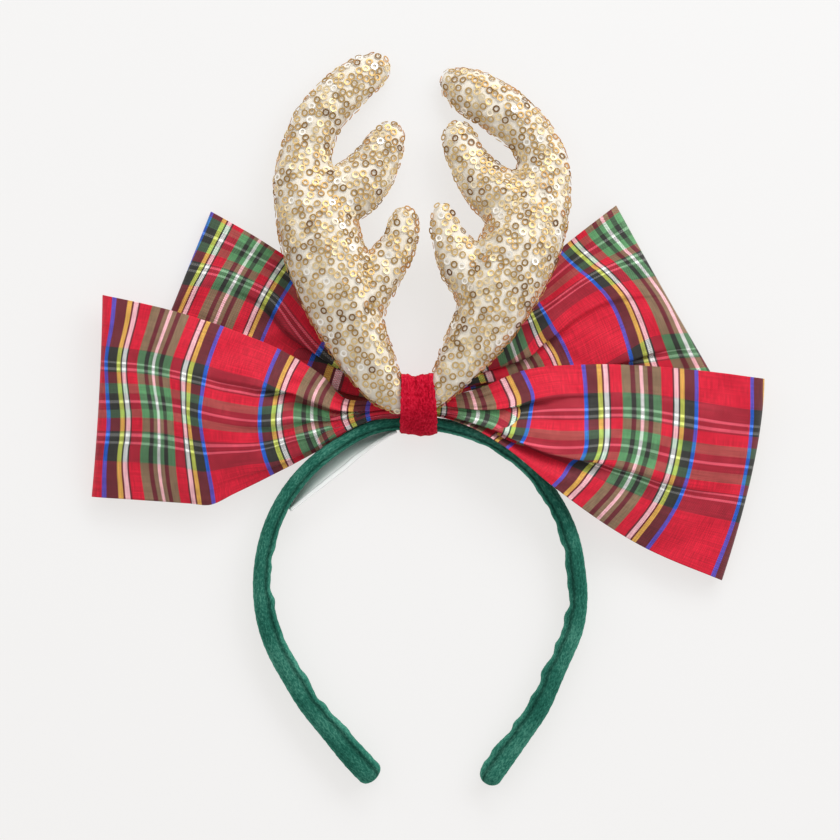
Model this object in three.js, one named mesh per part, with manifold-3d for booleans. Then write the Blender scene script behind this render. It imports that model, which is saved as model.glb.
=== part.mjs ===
// Antler headband, lying face up: a velvet-covered Alice band that carries two tartan bows,
// one behind the other, and a pair of stuffed antlers, all held at the crown by a felt wrap.
// X runs across the band, Y from the band's ends to the antler tips, Z up from the surface
// that it lies on, and the origin is on that surface under the band's crown. Millimetres.
import * as THREE from "three";
import { mergeVertices } from "three/addons/utils/BufferGeometryUtils.js";
import Module from "manifold-3d";

const wasm = await Module();
wasm.setup();

// Headband: a round crown, then the runs of each leg with how far each one turns in.
const BAND = {
  radius: 63.2,
  centreY: -65.6,
  crownThick: 5.4,
  endThick: 8.6,
  depth: 11,
  crownLift: 1.7,
  squareness: 3.2,
  capLength: 4,
  capSteps: 3,
  capBlunt: 0.3,
  stations: 80,
  sides: 10,
};
const CROWN_TURN = { left: 123, right: 110 };
const LEG_RUNS = {
  left: [{ length: 55, turn: 9 }],
  right: [
    { length: 26, turn: 3 },
    { length: 10, turn: 13 },
    { length: 30, turn: 0 },
  ],
};
// The velvet bunches up on the inner side of the bend.
const BUNCH = { height: 0.5, pitch: 13, slowPitch: 31, from: 0.3, full: 0.45 };

// Antlers: stuffing depth for each millimetre of width, and how finely the skin is drawn.
// Each row is a crossing of a limb, with its half width and the height of its middle.
const STUFFING = { depthRatio: 0.6, power: 2, sides: 12, stepsPerRow: 2, tipSteps: 4, nudge: 0.1 };
const ANTLERS = {
  left: {
    beam: [
      { x: -3.6, y: 7.0, half: 4.2, z: 18.3 },
      { x: -13.4, y: 11.6, half: 6.6, z: 19.4 },
      { x: -21.2, y: 24.8, half: 10.8, z: 19.6 },
      { x: -27.6, y: 39.2, half: 14.0, z: 18.6 },
      { x: -36.4, y: 61.2, half: 16.8, z: 17.3 },
      { x: -41.6, y: 78.4, half: 16.4, z: 14.6 },
      { x: -46.4, y: 96.8, half: 12.4, z: 10.8 },
      { x: -45.2, y: 108.0, half: 10.8, z: 8.8 },
      { x: -40.8, y: 119.6, half: 10.2, z: 7.6 },
      { x: -33.6, y: 128.4, half: 9.6, z: 6.8 },
      { x: -26.4, y: 135.2, half: 8.4, z: 6.0 },
      { x: -19.2, y: 140.4, half: 6.0, z: 5.0 },
      { x: -14.0, y: 144.0, half: 0.0, z: 4.6 },
    ],
    middleTine: [
      { x: -38.0, y: 85.2, half: 12.0, z: 13.4 },
      { x: -27.2, y: 92.8, half: 10.8, z: 12.0 },
      { x: -21.6, y: 98.8, half: 9.4, z: 10.8 },
      { x: -17.2, y: 106.0, half: 7.6, z: 9.8 },
      { x: -12.4, y: 113.2, half: 5.8, z: 9.0 },
      { x: -9.6, y: 117.6, half: 0.0, z: 8.6 },
    ],
    lowerTine: [
      { x: -25.2, y: 41.0, half: 11.6, z: 18.6 },
      { x: -22.0, y: 50.4, half: 11.4, z: 17.8 },
      { x: -15.2, y: 60.0, half: 9.6, z: 16.4 },
      { x: -8.8, y: 70.4, half: 7.4, z: 15.0 },
      { x: -6.8, y: 78.4, half: 6.2, z: 14.2 },
      { x: -6.4, y: 84.4, half: 0.0, z: 13.8 },
    ],
  },
  right: {
    beam: [
      { x: 2.4, y: 7.0, half: 4.2, z: 18.3 },
      { x: 13.2, y: 13.4, half: 7.0, z: 19.4 },
      { x: 18.8, y: 25.2, half: 10.8, z: 19.6 },
      { x: 25.2, y: 37.2, half: 13.6, z: 18.6 },
      { x: 33.2, y: 54.0, half: 16.4, z: 17.4 },
      { x: 40.8, y: 71.2, half: 16.8, z: 15.6 },
      { x: 46.8, y: 88.8, half: 13.6, z: 12.2 },
      { x: 49.2, y: 101.2, half: 10.4, z: 9.8 },
      { x: 45.6, y: 111.6, half: 9.6, z: 8.2 },
      { x: 38.0, y: 120.0, half: 9.6, z: 7.4 },
      { x: 29.2, y: 126.8, half: 9.6, z: 6.8 },
      { x: 20.0, y: 131.6, half: 8.6, z: 6.0 },
      { x: 13.2, y: 134.0, half: 5.6, z: 5.0 },
      { x: 8.0, y: 133.6, half: 0.0, z: 4.6 },
    ],
    middleTine: [
      { x: 38.0, y: 84.0, half: 12.8, z: 13.4 },
      { x: 28.0, y: 92.0, half: 10.4, z: 12.0 },
      { x: 21.6, y: 100.0, half: 8.6, z: 10.8 },
      { x: 16.4, y: 108.4, half: 7.4, z: 9.8 },
      { x: 13.2, y: 114.4, half: 5.2, z: 9.0 },
      { x: 10.8, y: 118.4, half: 0.0, z: 8.6 },
    ],
    lowerTine: [
      { x: 25.6, y: 42.0, half: 11.8, z: 18.4 },
      { x: 23.6, y: 52.4, half: 11.8, z: 17.6 },
      { x: 17.2, y: 61.6, half: 10.4, z: 16.4 },
      { x: 11.6, y: 71.6, half: 7.2, z: 15.0 },
      { x: 8.8, y: 79.6, half: 5.2, z: 14.2 },
      { x: 8.0, y: 86.4, half: 0.0, z: 13.8 },
    ],
  },
};

// Cloth of the bows: wall, radius of the folded outer ends, and how finely it is drawn.
const CLOTH = { wall: 1.2, endRadius: 5, endSteps: 3, step: 11, columns: 14, overhang: 1.12 };

// Each bow is a ring of cloth, pinched flat at the knot. An outline row is a crossing of the strip
// at its distance along the cloth from the knot, with the top edge, middle and low edge.
// A height row gives the underside below those three places, and the loop's height at its edges
// and along its middle. A fold row is a ridge, or a groove if its rise is negative, that runs
// out from the knot at a place across the strip from -1, the low edge, to 1, the top edge.
const BOW_FRONT = {
  hollowFrom: { left: -26, right: 28 },
  outline: [
    { at: -128, topX: -126.8, topY: 49.6, midX: -128.2, midY: 8.8, lowX: -131.6, lowY: -32.0 },
    { at: -105, topX: -100.4, topY: 43.6, midX: -107.0, midY: 8.0, lowX: -103.6, lowY: -33.8 },
    { at: -84, topX: -78.8, topY: 37.0, midX: -87.2, midY: 5.2, lowX: -82.0, lowY: -34.2 },
    { at: -62, topX: -57.0, topY: 28.2, midX: -65.2, midY: 1.2, lowX: -60.4, lowY: -24.4 },
    { at: -41, topX: -39.2, topY: 18.4, midX: -43.6, midY: 3.6, lowX: -40.4, lowY: -11.2 },
    { at: -20, topX: -20.0, topY: 9.8, midX: -21.2, midY: 4.8, lowX: -20.4, lowY: 0.6 },
    { at: -7, topX: -6.4, topY: 8.4, midX: -6.4, midY: 5.2, lowX: -6.4, lowY: 2.2 },
    { at: 7, topX: 5.4, topY: 8.4, midX: 5.4, midY: 5.2, lowX: 5.4, lowY: 2.2 },
    { at: 25, topX: 20.8, topY: 11.2, midX: 22.8, midY: 3.0, lowX: 20.0, lowY: -2.6 },
    { at: 46, topX: 42.4, topY: 19.6, midX: 46.2, midY: 3.2, lowX: 36.0, lowY: -12.6 },
    { at: 68, topX: 66.4, topY: 21.6, midX: 67.2, midY: -4.8, lowX: 53.6, lowY: -28.0 },
    { at: 110, topX: 112.0, topY: 19.2, midX: 109.2, midY: -20.0, lowX: 92.4, lowY: -53.6 },
    { at: 136, topX: 138.0, topY: 14.4, midX: 133.4, midY: -20.8, lowX: 120.8, lowY: -65.6 },
  ],
  height: [
    { at: -128, underTop: 6.4, underMid: 6.2, underLow: 0.0, edge: 8.0, middle: 8.0 },
    { at: -105, underTop: 7.2, underMid: 7.1, underLow: 0.0, edge: 9.0, middle: 11.0 },
    { at: -84, underTop: 7.2, underMid: 7.1, underLow: 0.0, edge: 9.0, middle: 12.0 },
    { at: -62, underTop: 7.2, underMid: 7.1, underLow: 0.4, edge: 8.6, middle: 11.6 },
    { at: -41, underTop: 7.2, underMid: 7.2, underLow: 3.0, edge: 8.0, middle: 10.0 },
    { at: -20, underTop: 7.4, underMid: 7.4, underLow: 6.6, edge: 6.8, middle: 7.2 },
    { at: -7, underTop: 7.6, underMid: 7.6, underLow: 7.6, edge: 6.2, middle: 6.4 },
    { at: 7, underTop: 7.6, underMid: 7.6, underLow: 7.6, edge: 6.2, middle: 6.4 },
    { at: 25, underTop: 7.4, underMid: 8.6, underLow: 14.2, edge: 6.0, middle: 7.2 },
    { at: 46, underTop: 7.4, underMid: 9.2, underLow: 14.8, edge: 5.6, middle: 9.6 },
    { at: 68, underTop: 7.4, underMid: 8.4, underLow: 14.2, edge: 6.4, middle: 11.4 },
    { at: 110, underTop: 7.8, underMid: 4.2, underLow: 0.0, edge: 8.6, middle: 11.6 },
    { at: 136, underTop: 6.4, underMid: 2.6, underLow: 0.0, edge: 8.0, middle: 8.0 },
  ],
  folds: [
    { across: 0.6, wide: 0.28, rise: 2.2, from: -18, to: -88 },
    { across: 0.2, wide: 0.17, rise: -3.2, from: -16, to: -80 },
    { across: -0.12, wide: 0.2, rise: 1.4, from: -16, to: -70 },
    { across: -0.42, wide: 0.18, rise: -2.0, from: -16, to: -64 },
    { across: -0.72, wide: 0.2, rise: 1.2, from: -16, to: -66 },
    { across: 0.42, wide: 0.34, rise: 1.6, from: -66, to: -126 },
    { across: -0.1, wide: 0.3, rise: -1.5, from: -66, to: -126 },
    { across: 0.6, wide: 0.3, rise: 1.8, from: 22, to: 92 },
    { across: 0.26, wide: 0.17, rise: -2.6, from: 20, to: 70 },
    { across: -0.02, wide: 0.22, rise: 2.2, from: 22, to: 86 },
    { across: -0.42, wide: 0.17, rise: -3.4, from: 20, to: 114 },
    { across: -0.74, wide: 0.22, rise: 1.0, from: 22, to: 82 },
    { across: 0.12, wide: 0.3, rise: -1.4, from: 82, to: 134 },
  ],
};
const BOW_BACK = {
  hollowFrom: { left: -30, right: 30 },
  outline: [
    { at: -102, topX: -83.6, topY: 82.4, midX: -98.8, midY: 45.2, lowX: -114.0, lowY: 8.0 },
    { at: -80, topX: -64.0, topY: 70.8, midX: -79.2, midY: 43.2, lowX: -92.0, lowY: 6.4 },
    { at: -58, topX: -46.0, topY: 58.0, midX: -56.4, midY: 40.4, lowX: -68.0, lowY: 9.2 },
    { at: -36, topX: -28.0, topY: 44.0, midX: -36.0, midY: 30.2, lowX: -43.2, lowY: 12.8 },
    { at: -19, topX: -11.6, topY: 27.6, midX: -15.6, midY: 19.6, lowX: -18.6, lowY: 10.6 },
    { at: -11, topX: -8.8, topY: 16.4, midX: -9.4, midY: 12.0, lowX: -9.6, lowY: 7.0 },
    { at: -7, topX: -6.4, topY: 15.2, midX: -6.4, midY: 11.0, lowX: -6.4, lowY: 6.4 },
    { at: 7, topX: 5.4, topY: 15.2, midX: 5.4, midY: 11.0, lowX: 5.4, lowY: 6.4 },
    { at: 11, topX: 8.0, topY: 16.4, midX: 8.6, midY: 12.0, lowX: 8.8, lowY: 7.0 },
    { at: 19, topX: 13.2, topY: 27.6, midX: 15.6, midY: 19.6, lowX: 18.6, lowY: 10.6 },
    { at: 36, topX: 28.0, topY: 44.0, midX: 34.0, midY: 30.2, lowX: 41.0, lowY: 12.8 },
    { at: 61, topX: 42.4, topY: 55.2, midX: 54.4, midY: 34.8, lowX: 64.0, lowY: 12.0 },
    { at: 84, topX: 58.0, topY: 69.6, midX: 75.6, midY: 45.2, lowX: 88.0, lowY: 12.0 },
    { at: 106, topX: 78.4, topY: 85.6, midX: 98.0, midY: 50.4, lowX: 119.0, lowY: 14.0 },
  ],
  height: [
    { at: -102, underTop: 0.0, underMid: 0.0, underLow: 0.0, edge: 6.0, middle: 6.4 },
    { at: -80, underTop: 0.0, underMid: 0.0, underLow: 0.0, edge: 6.2, middle: 6.6 },
    { at: -36, underTop: 0.0, underMid: 0.0, underLow: 0.0, edge: 6.2, middle: 6.6 },
    { at: -17, underTop: 1.2, underMid: 1.2, underLow: 1.2, edge: 5.4, middle: 5.6 },
    { at: -7, underTop: 1.7, underMid: 1.7, underLow: 1.7, edge: 5.0, middle: 5.2 },
    { at: 7, underTop: 1.7, underMid: 1.7, underLow: 1.7, edge: 5.0, middle: 5.2 },
    { at: 17, underTop: 1.2, underMid: 1.2, underLow: 1.2, edge: 5.4, middle: 5.6 },
    { at: 36, underTop: 0.0, underMid: 0.0, underLow: 0.0, edge: 6.2, middle: 6.6 },
    { at: 84, underTop: 0.0, underMid: 0.0, underLow: 0.0, edge: 6.2, middle: 6.6 },
    { at: 106, underTop: 0.0, underMid: 0.0, underLow: 0.0, edge: 6.0, middle: 6.4 },
  ],
  folds: [
    { across: 0.62, wide: 0.24, rise: -1.4, from: -22, to: -90 },
    { across: 0.3, wide: 0.22, rise: 1.2, from: -22, to: -74 },
    { across: -0.02, wide: 0.2, rise: -1.5, from: -22, to: -80 },
    { across: 0.66, wide: 0.26, rise: -1.4, from: 22, to: 92 },
    { across: 0.3, wide: 0.24, rise: -1.2, from: 22, to: 80 },
    { across: -0.06, wide: 0.18, rise: 2.4, from: 22, to: 76 },
    { across: -0.4, wide: 0.18, rise: -1.6, from: 20, to: 70 },
  ],
};

// Felt wrap: its section round the band, the bows and the antlers' feet, seen along X.
const WRAP = {
  leftX: -7.8,
  rightX: 6.8,
  wall: 1.1,
  ribHeight: 0.3,
  ribPitch: 4.9,
  stations: 12,
  cornerSteps: 3,
  cutPast: 1,
};
const WRAP_SECTION = [
  { y: -7.2, z: 0.0, round: 2.2 },
  { y: 18.0, z: 0.0, round: 2.2 },
  { y: 18.0, z: 24.6, round: 5.0 },
  { y: 2.6, z: 24.6, round: 5.0 },
  { y: -7.2, z: 14.6, round: 4.0 },
];

// Label: a satin strip across the band's inner side, fixed at its two ends.
const LABEL = { wall: 1, lowZ: 1.6, highZ: 10.6, steps: 6 };
const LABEL_PATH = { startX: -9.2, startY: -7.0, bendX: -27.5, bendY: -17.6, endX: -51.8, endY: -37.2 };

const TARTAN_RED = 0xb9263a;
const FINISH = {
  velvet: new THREE.MeshStandardMaterial({ color: 0x1e5f4b, roughness: 0.95, metalness: 0 }),
  sequinCloth: new THREE.MeshStandardMaterial({ color: 0xcfc096, roughness: 0.45, metalness: 0.3 }),
  frontTartan: new THREE.MeshStandardMaterial({ color: TARTAN_RED, roughness: 0.85, metalness: 0 }),
  backTartan: new THREE.MeshStandardMaterial({ color: TARTAN_RED, roughness: 0.85, metalness: 0 }),
  felt: new THREE.MeshStandardMaterial({ color: 0xa40f28, roughness: 0.95, metalness: 0 }),
  satin: new THREE.MeshStandardMaterial({ color: 0xf2f2f0, roughness: 0.5, metalness: 0 }),
};

const DEGREE = Math.PI / 180;
const MERGE = 1e-4;

// Reads a table as smooth curves: gives a function from the key column to all the others.
function tableCurve(rows, key) {
  const names = Object.keys(rows[0]).filter((name) => name !== key);
  const places = rows.map((row) => row[key]);
  const values = rows.flatMap((row) => names.map((name) => row[name]));
  const curve = new THREE.CubicInterpolant(places, values, names.length, new Float64Array(names.length));
  return (place) => {
    const found = curve.evaluate(place);
    return Object.fromEntries(names.map((name, index) => [name, found[index]]));
  };
}

// A geometry of points and triangles, with its doubles merged and its flat slivers dropped.
function closedGeometry(points, triangles) {
  const loose = new THREE.BufferGeometry();
  const numbers = points.flatMap((p) => [p.x, p.y, p.z]);
  loose.setAttribute("position", new THREE.Float32BufferAttribute(numbers, 3));
  loose.setIndex(triangles.flat());
  const merged = mergeVertices(loose, MERGE);
  const index = merged.getIndex().array;
  const kept = [];
  for (let i = 0; i < index.length; i += 3) {
    const [a, b, c] = index.slice(i, i + 3);
    if (a !== b && b !== c && c !== a) {
      kept.push(a, b, c);
    }
  }
  merged.setIndex(kept);
  return merged;
}

function toSolid(geometry) {
  const bare = geometry.clone();
  bare.deleteAttribute("normal");
  bare.deleteAttribute("uv");
  const merged = mergeVertices(bare, MERGE);
  const mesh = new wasm.Mesh({
    numProp: 3,
    vertProperties: new Float32Array(merged.getAttribute("position").array),
    triVerts: new Uint32Array(merged.getIndex().array),
  });
  return new wasm.Manifold(mesh);
}

function toGeometry(solid) {
  const mesh = solid.getMesh();
  const geometry = new THREE.BufferGeometry();
  geometry.setAttribute("position", new THREE.BufferAttribute(new Float32Array(mesh.vertProperties), 3));
  geometry.setIndex(new THREE.BufferAttribute(new Uint32Array(mesh.triVerts), 1));
  return geometry;
}

// A skin over closed rings of equal size, with a fan of triangles over each end.
function loft(rings) {
  const sides = rings[0].length;
  const last = rings.length - 1;
  const points = rings.flat();
  const middle = (ring) => ring.reduce((sum, p) => sum.add(p), new THREE.Vector3()).divideScalar(sides);
  const startMiddle = points.push(middle(rings[0])) - 1;
  const endMiddle = points.push(middle(rings[last])) - 1;
  const at = (ring, side) => ring * sides + (side % sides);
  const triangles = [];
  for (let side = 0; side < sides; side += 1) {
    triangles.push([startMiddle, at(0, side + 1), at(0, side)]);
    triangles.push([endMiddle, at(last, side), at(last, side + 1)]);
    for (let ring = 0; ring < last; ring += 1) {
      triangles.push([at(ring, side), at(ring, side + 1), at(ring + 1, side + 1)]);
      triangles.push([at(ring, side), at(ring + 1, side + 1), at(ring + 1, side)]);
    }
  }
  return closedGeometry(points, triangles);
}

// A ring across a path that runs level: wide to the path's left and deep upwards.
function ringAcross(centre, heading, section) {
  const left = new THREE.Vector3(-Math.sin(heading), Math.cos(heading), 0);
  return section.map((p) => {
    const point = centre.clone().addScaledVector(left, p.x);
    point.z += p.y;
    return point;
  });
}

// Points of an oval with half sizes a and b, squarer as its power rises above 2.
function oval(a, b, power, sides) {
  const bend = (value) => Math.sign(value) * Math.abs(value) ** (2 / power);
  return Array.from({ length: sides }, (_, side) => {
    const angle = ((side + 0.5) / sides) * 2 * Math.PI;
    return new THREE.Vector2(a * bend(Math.cos(angle)), b * bend(Math.sin(angle)));
  });
}

// The band's middle line, walked from the crown down each side. Distances to the left are negative.
function bandPath() {
  const runsOf = (side) => {
    const crown = { length: BAND.radius * CROWN_TURN[side] * DEGREE, turn: CROWN_TURN[side] };
    return [crown, ...LEG_RUNS[side]];
  };
  const runs = { left: runsOf("left"), right: runsOf("right") };
  const lengthOf = (side) => runs[side].reduce((sum, run) => sum + run.length, 0);
  const place = (distance) => {
    const sign = Math.sign(distance);
    const point = { x: 0, y: BAND.centreY + BAND.radius, heading: 0 };
    let rest = Math.abs(distance);
    for (const run of sign < 0 ? runs.left : runs.right) {
      const walked = Math.min(rest, run.length);
      const turned = (-run.turn * DEGREE * walked) / run.length;
      const chord = turned === 0 ? walked : (2 * walked * Math.sin(turned / 2)) / turned;
      point.x += sign * chord * Math.cos(point.heading + turned / 2);
      point.y += chord * Math.sin(point.heading + turned / 2);
      point.heading += turned;
      rest -= walked;
    }
    point.heading *= sign;
    return point;
  };
  return { place, left: lengthOf("left"), right: lengthOf("right") };
}

function headband() {
  const path = bandPath();
  const tipY = path.place(-path.left).y;
  const steps = Array.from({ length: BAND.stations + 1 }, (_, i) => {
    return THREE.MathUtils.lerp(BAND.capLength - path.left, path.right - BAND.capLength, i / BAND.stations);
  });
  for (let i = 1; i <= BAND.capSteps; i += 1) {
    const reach = BAND.capLength * Math.sin((i / (BAND.capSteps + BAND.capBlunt)) * (Math.PI / 2));
    steps.unshift(BAND.capLength - path.left - reach);
    steps.push(path.right - BAND.capLength + reach);
  }
  const rings = steps.map((distance) => {
    const { x, y, heading } = path.place(distance);
    const away = distance < 0 ? -distance / path.left : distance / path.right;
    const toEnd = distance < 0 ? path.left + distance : path.right - distance;
    const capped = Math.max(0, 1 - toEnd / BAND.capLength);
    const round = Math.sqrt(1 - capped * capped);
    const half = (THREE.MathUtils.lerp(BAND.crownThick, BAND.endThick, away) / 2) * round;
    const turns = (pitch) => Math.sin((2 * Math.PI * distance) / pitch);
    const grown = THREE.MathUtils.smoothstep(away, BUNCH.from, BUNCH.full) * round;
    const bunch = BUNCH.height * (turns(BUNCH.pitch) + turns(BUNCH.slowPitch)) * grown;
    const section = oval(half, (BAND.depth / 2) * round, BAND.squareness, BAND.sides);
    for (const p of section) {
      p.x += p.x < 0 ? (bunch * p.x) / half : 0;
    }
    const lift = BAND.crownLift * (1 - y / tipY);
    return ringAcross(new THREE.Vector3(x, y, BAND.depth / 2 + lift), heading, section);
  });
  return loft(rings);
}

// One stuffed limb: oval rings along its rows, closed by a round tip in the last row.
function limb(rows) {
  let distance = 0;
  const measured = rows.map((row, i) => {
    distance += i === 0 ? 0 : Math.hypot(row.x - rows[i - 1].x, row.y - rows[i - 1].y);
    return { at: distance, ...row };
  });
  const curve = tableCurve(measured, "at");
  const [shoulder, tip] = measured.slice(-2);
  const steps = [];
  for (let i = 0; i < measured.length - 2; i += 1) {
    for (let k = 0; k < STUFFING.stepsPerRow; k += 1) {
      steps.push(THREE.MathUtils.lerp(measured[i].at, measured[i + 1].at, k / STUFFING.stepsPerRow));
    }
  }
  for (let k = 0; k < STUFFING.tipSteps; k += 1) {
    const along = Math.sin((k / STUFFING.tipSteps) * (Math.PI / 2));
    steps.push(THREE.MathUtils.lerp(shoulder.at, tip.at, along));
  }
  const rings = steps.map((at) => {
    const here = curve(at);
    const ahead = curve(Math.min(at + STUFFING.nudge, tip.at));
    const behind = curve(Math.max(at - STUFFING.nudge, 0));
    const heading = Math.atan2(ahead.y - behind.y, ahead.x - behind.x);
    const along = Math.max(0, (at - shoulder.at) / (tip.at - shoulder.at));
    const half = along > 0 ? shoulder.half * Math.sqrt(1 - along * along) : here.half;
    const section = oval(half, half * STUFFING.depthRatio, STUFFING.power, STUFFING.sides);
    return ringAcross(new THREE.Vector3(here.x, here.y, here.z), heading, section);
  });
  const tipPoint = new THREE.Vector3(tip.x, tip.y, tip.z);
  rings.push(Array.from({ length: STUFFING.sides }, () => tipPoint.clone()));
  return loft(rings);
}

function antler({ beam, middleTine, lowerTine }) {
  const whole = toSolid(limb(beam)).add(toSolid(limb(middleTine))).add(toSolid(limb(lowerTine)));
  return toGeometry(whole);
}

// A closed slab between two surfaces over the same grid of distances and places across.
function slab(distances, places, topAt, bottomAt) {
  const columns = places.length;
  const rows = distances.length;
  const edge = columns - 1;
  const top = distances.flatMap((at) => places.map((across) => topAt(at, across)));
  const bottom = distances.flatMap((at) => places.map((across) => bottomAt(at, across)));
  const upper = (row, column) => row * columns + column;
  const lower = (row, column) => rows * columns + upper(row, column);
  const triangles = [];
  const quad = (a, b, c, d) => triangles.push([a, b, c], [a, c, d]);
  for (let r = 0; r < rows - 1; r += 1) {
    for (let c = 0; c < edge; c += 1) {
      quad(upper(r, c), upper(r + 1, c), upper(r + 1, c + 1), upper(r, c + 1));
      quad(lower(r, c), lower(r, c + 1), lower(r + 1, c + 1), lower(r + 1, c));
    }
    quad(upper(r, 0), lower(r, 0), lower(r + 1, 0), upper(r + 1, 0));
    quad(upper(r, edge), upper(r + 1, edge), lower(r + 1, edge), lower(r, edge));
  }
  for (let c = 0; c < edge; c += 1) {
    quad(upper(0, c), upper(0, c + 1), lower(0, c + 1), lower(0, c));
    quad(upper(rows - 1, c), lower(rows - 1, c), lower(rows - 1, c + 1), upper(rows - 1, c + 1));
  }
  return closedGeometry([...top, ...bottom], triangles);
}

// Passes smoothly through a low, a middle and a top value as across goes from -1 to 1.
function threePoint(low, mid, top, across) {
  return mid + ((top - low) / 2) * across + ((top + low) / 2 - mid) * across * across;
}

// Height that the folds add to the upper layer: each is a bell across the strip, fading at its ends.
function foldRise(folds, at, across) {
  return folds.reduce((sum, fold) => {
    const along = (at - fold.from) / (fold.to - fold.from);
    if (along <= 0 || along >= 1) {
      return sum;
    }
    const offset = (across - fold.across) / fold.wide;
    return sum + fold.rise * Math.exp(-offset * offset) * Math.sin(Math.PI * Math.sqrt(along));
  }, 0);
}

// Distances from one to another in even steps, finer where the cloth turns at a folded end.
function clothSteps(from, end, radius) {
  const sign = Math.sign(end - from);
  const flat = Math.abs(end - from) - radius;
  const count = Math.max(1, Math.round(flat / CLOTH.step));
  const steps = Array.from({ length: count + 1 }, (_, i) => from + (sign * flat * i) / count);
  for (let i = 1; i <= CLOTH.endSteps; i += 1) {
    const turn = ((i / CLOTH.endSteps) * Math.PI) / 2;
    steps.push(from + sign * (flat + radius * Math.sin(turn)));
  }
  return steps;
}

function bow({ outline, height, folds, hollowFrom }) {
  const edges = tableCurve(outline, "at");
  const heights = tableCurve(height, "at");
  const leftEnd = outline[0].at;
  const rightEnd = outline[outline.length - 1].at;
  const surface = (at, across, inset, isTop) => {
    const e = edges(at);
    const h = heights(at);
    const end = at < 0 ? leftEnd : rightEnd;
    const radius = CLOTH.endRadius - inset;
    const turned = Math.max(0, (CLOTH.endRadius - Math.abs(end - at)) / radius);
    const round = Math.sqrt(Math.max(0, 1 - turned * turned));
    const under = Math.max(0, threePoint(h.underLow, h.underMid, h.underTop, across));
    const full = h.edge + (h.middle - h.edge) * (1 - Math.min(1, across * across));
    const half = (full / 2 - inset) * round;
    const rise = isTop ? foldRise(folds, at, across) * round : 0;
    return new THREE.Vector3(
      threePoint(e.lowX, e.midX, e.topX, across),
      threePoint(e.lowY, e.midY, e.topY, across),
      under + full / 2 + (isTop ? half + rise : -half),
    );
  };
  const spread = (reach) => {
    return Array.from({ length: CLOTH.columns + 1 }, (_, i) => reach * ((2 * i) / CLOTH.columns - 1));
  };
  const build = (distances, reach, inset) => {
    const top = (at, across) => surface(at, across, inset, true);
    const bottom = (at, across) => surface(at, across, inset, false);
    return toSolid(slab(distances, spread(reach), top, bottom));
  };
  const outer = [
    ...clothSteps(0, leftEnd, CLOTH.endRadius).reverse(),
    ...clothSteps(0, rightEnd, CLOTH.endRadius).slice(1),
  ];
  const hollow = (from, end) => {
    const inside = end - Math.sign(end) * CLOTH.wall;
    const distances = clothSteps(from, inside, CLOTH.endRadius - CLOTH.wall);
    return build(end < 0 ? distances.reverse() : distances, CLOTH.overhang, CLOTH.wall);
  };
  const ring = build(outer, 1, 0)
    .subtract(hollow(hollowFrom.left, leftEnd))
    .subtract(hollow(hollowFrom.right, rightEnd));
  return toGeometry(ring);
}

// The wrap's outline with each corner rounded, drawn inset from the outside by a wall.
function wrapOutline(inset) {
  const corners = WRAP_SECTION.map((row) => new THREE.Vector2(row.y, row.z));
  const count = corners.length;
  const moved = corners.map((corner, i) => {
    const before = corner.clone().sub(corners[(i + count - 1) % count]).normalize();
    const after = corners[(i + 1) % count].clone().sub(corner).normalize();
    const inward = new THREE.Vector2(-before.y - after.y, before.x + after.x);
    return corner.clone().addScaledVector(inward, inset / (1 + before.dot(after)));
  });
  const shape = new THREE.Shape();
  moved.forEach((corner, i) => {
    const round = Math.max(WRAP_SECTION[i].round - inset, inset / 2);
    const toBefore = moved[(i + count - 1) % count].clone().sub(corner).normalize();
    const toAfter = moved[(i + 1) % count].clone().sub(corner).normalize();
    const start = corner.clone().addScaledVector(toBefore, round);
    const end = corner.clone().addScaledVector(toAfter, round);
    if (i === 0) {
      shape.moveTo(start.x, start.y);
    } else {
      shape.lineTo(start.x, start.y);
    }
    shape.quadraticCurveTo(corner.x, corner.y, end.x, end.y);
  });
  shape.closePath();
  const points = shape.getPoints(WRAP.cornerSteps);
  points.pop();
  return points;
}

function centreWrap() {
  const sleeve = (inset, xs, ribHeight) => {
    const outline = wrapOutline(inset);
    const rings = xs.map((x) => {
      const rib = ribHeight * (Math.cos((2 * Math.PI * x) / WRAP.ribPitch) - 1);
      return outline.map((p) => new THREE.Vector3(x, p.x, p.y > BAND.depth ? p.y + rib : p.y));
    });
    return toSolid(loft(rings));
  };
  const steps = Array.from({ length: WRAP.stations + 1 }, (_, i) => {
    return THREE.MathUtils.lerp(WRAP.leftX, WRAP.rightX, i / WRAP.stations);
  });
  const outside = sleeve(0, steps, WRAP.ribHeight);
  const inside = sleeve(WRAP.wall, [WRAP.leftX - WRAP.cutPast, WRAP.rightX + WRAP.cutPast], 0);
  return toGeometry(outside.subtract(inside));
}

function innerLabel() {
  const curve = new THREE.QuadraticBezierCurve(
    new THREE.Vector2(LABEL_PATH.startX, LABEL_PATH.startY),
    new THREE.Vector2(LABEL_PATH.bendX, LABEL_PATH.bendY),
    new THREE.Vector2(LABEL_PATH.endX, LABEL_PATH.endY),
  );
  const side = (offset) => {
    return Array.from({ length: LABEL.steps + 1 }, (_, i) => {
      const along = i / LABEL.steps;
      const tangent = curve.getTangent(along);
      return curve.getPoint(along).add(new THREE.Vector2(-tangent.y, tangent.x).multiplyScalar(offset));
    });
  };
  const outline = [...side(LABEL.wall / 2), ...side(-LABEL.wall / 2).reverse()];
  const strip = new THREE.ExtrudeGeometry(new THREE.Shape(outline), {
    depth: LABEL.highZ - LABEL.lowZ,
    bevelEnabled: false,
  });
  strip.translate(0, 0, LABEL.lowZ);
  return strip;
}

function piece(name, geometry, material) {
  const mesh = new THREE.Mesh(geometry, material);
  mesh.name = name;
  return mesh;
}

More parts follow.
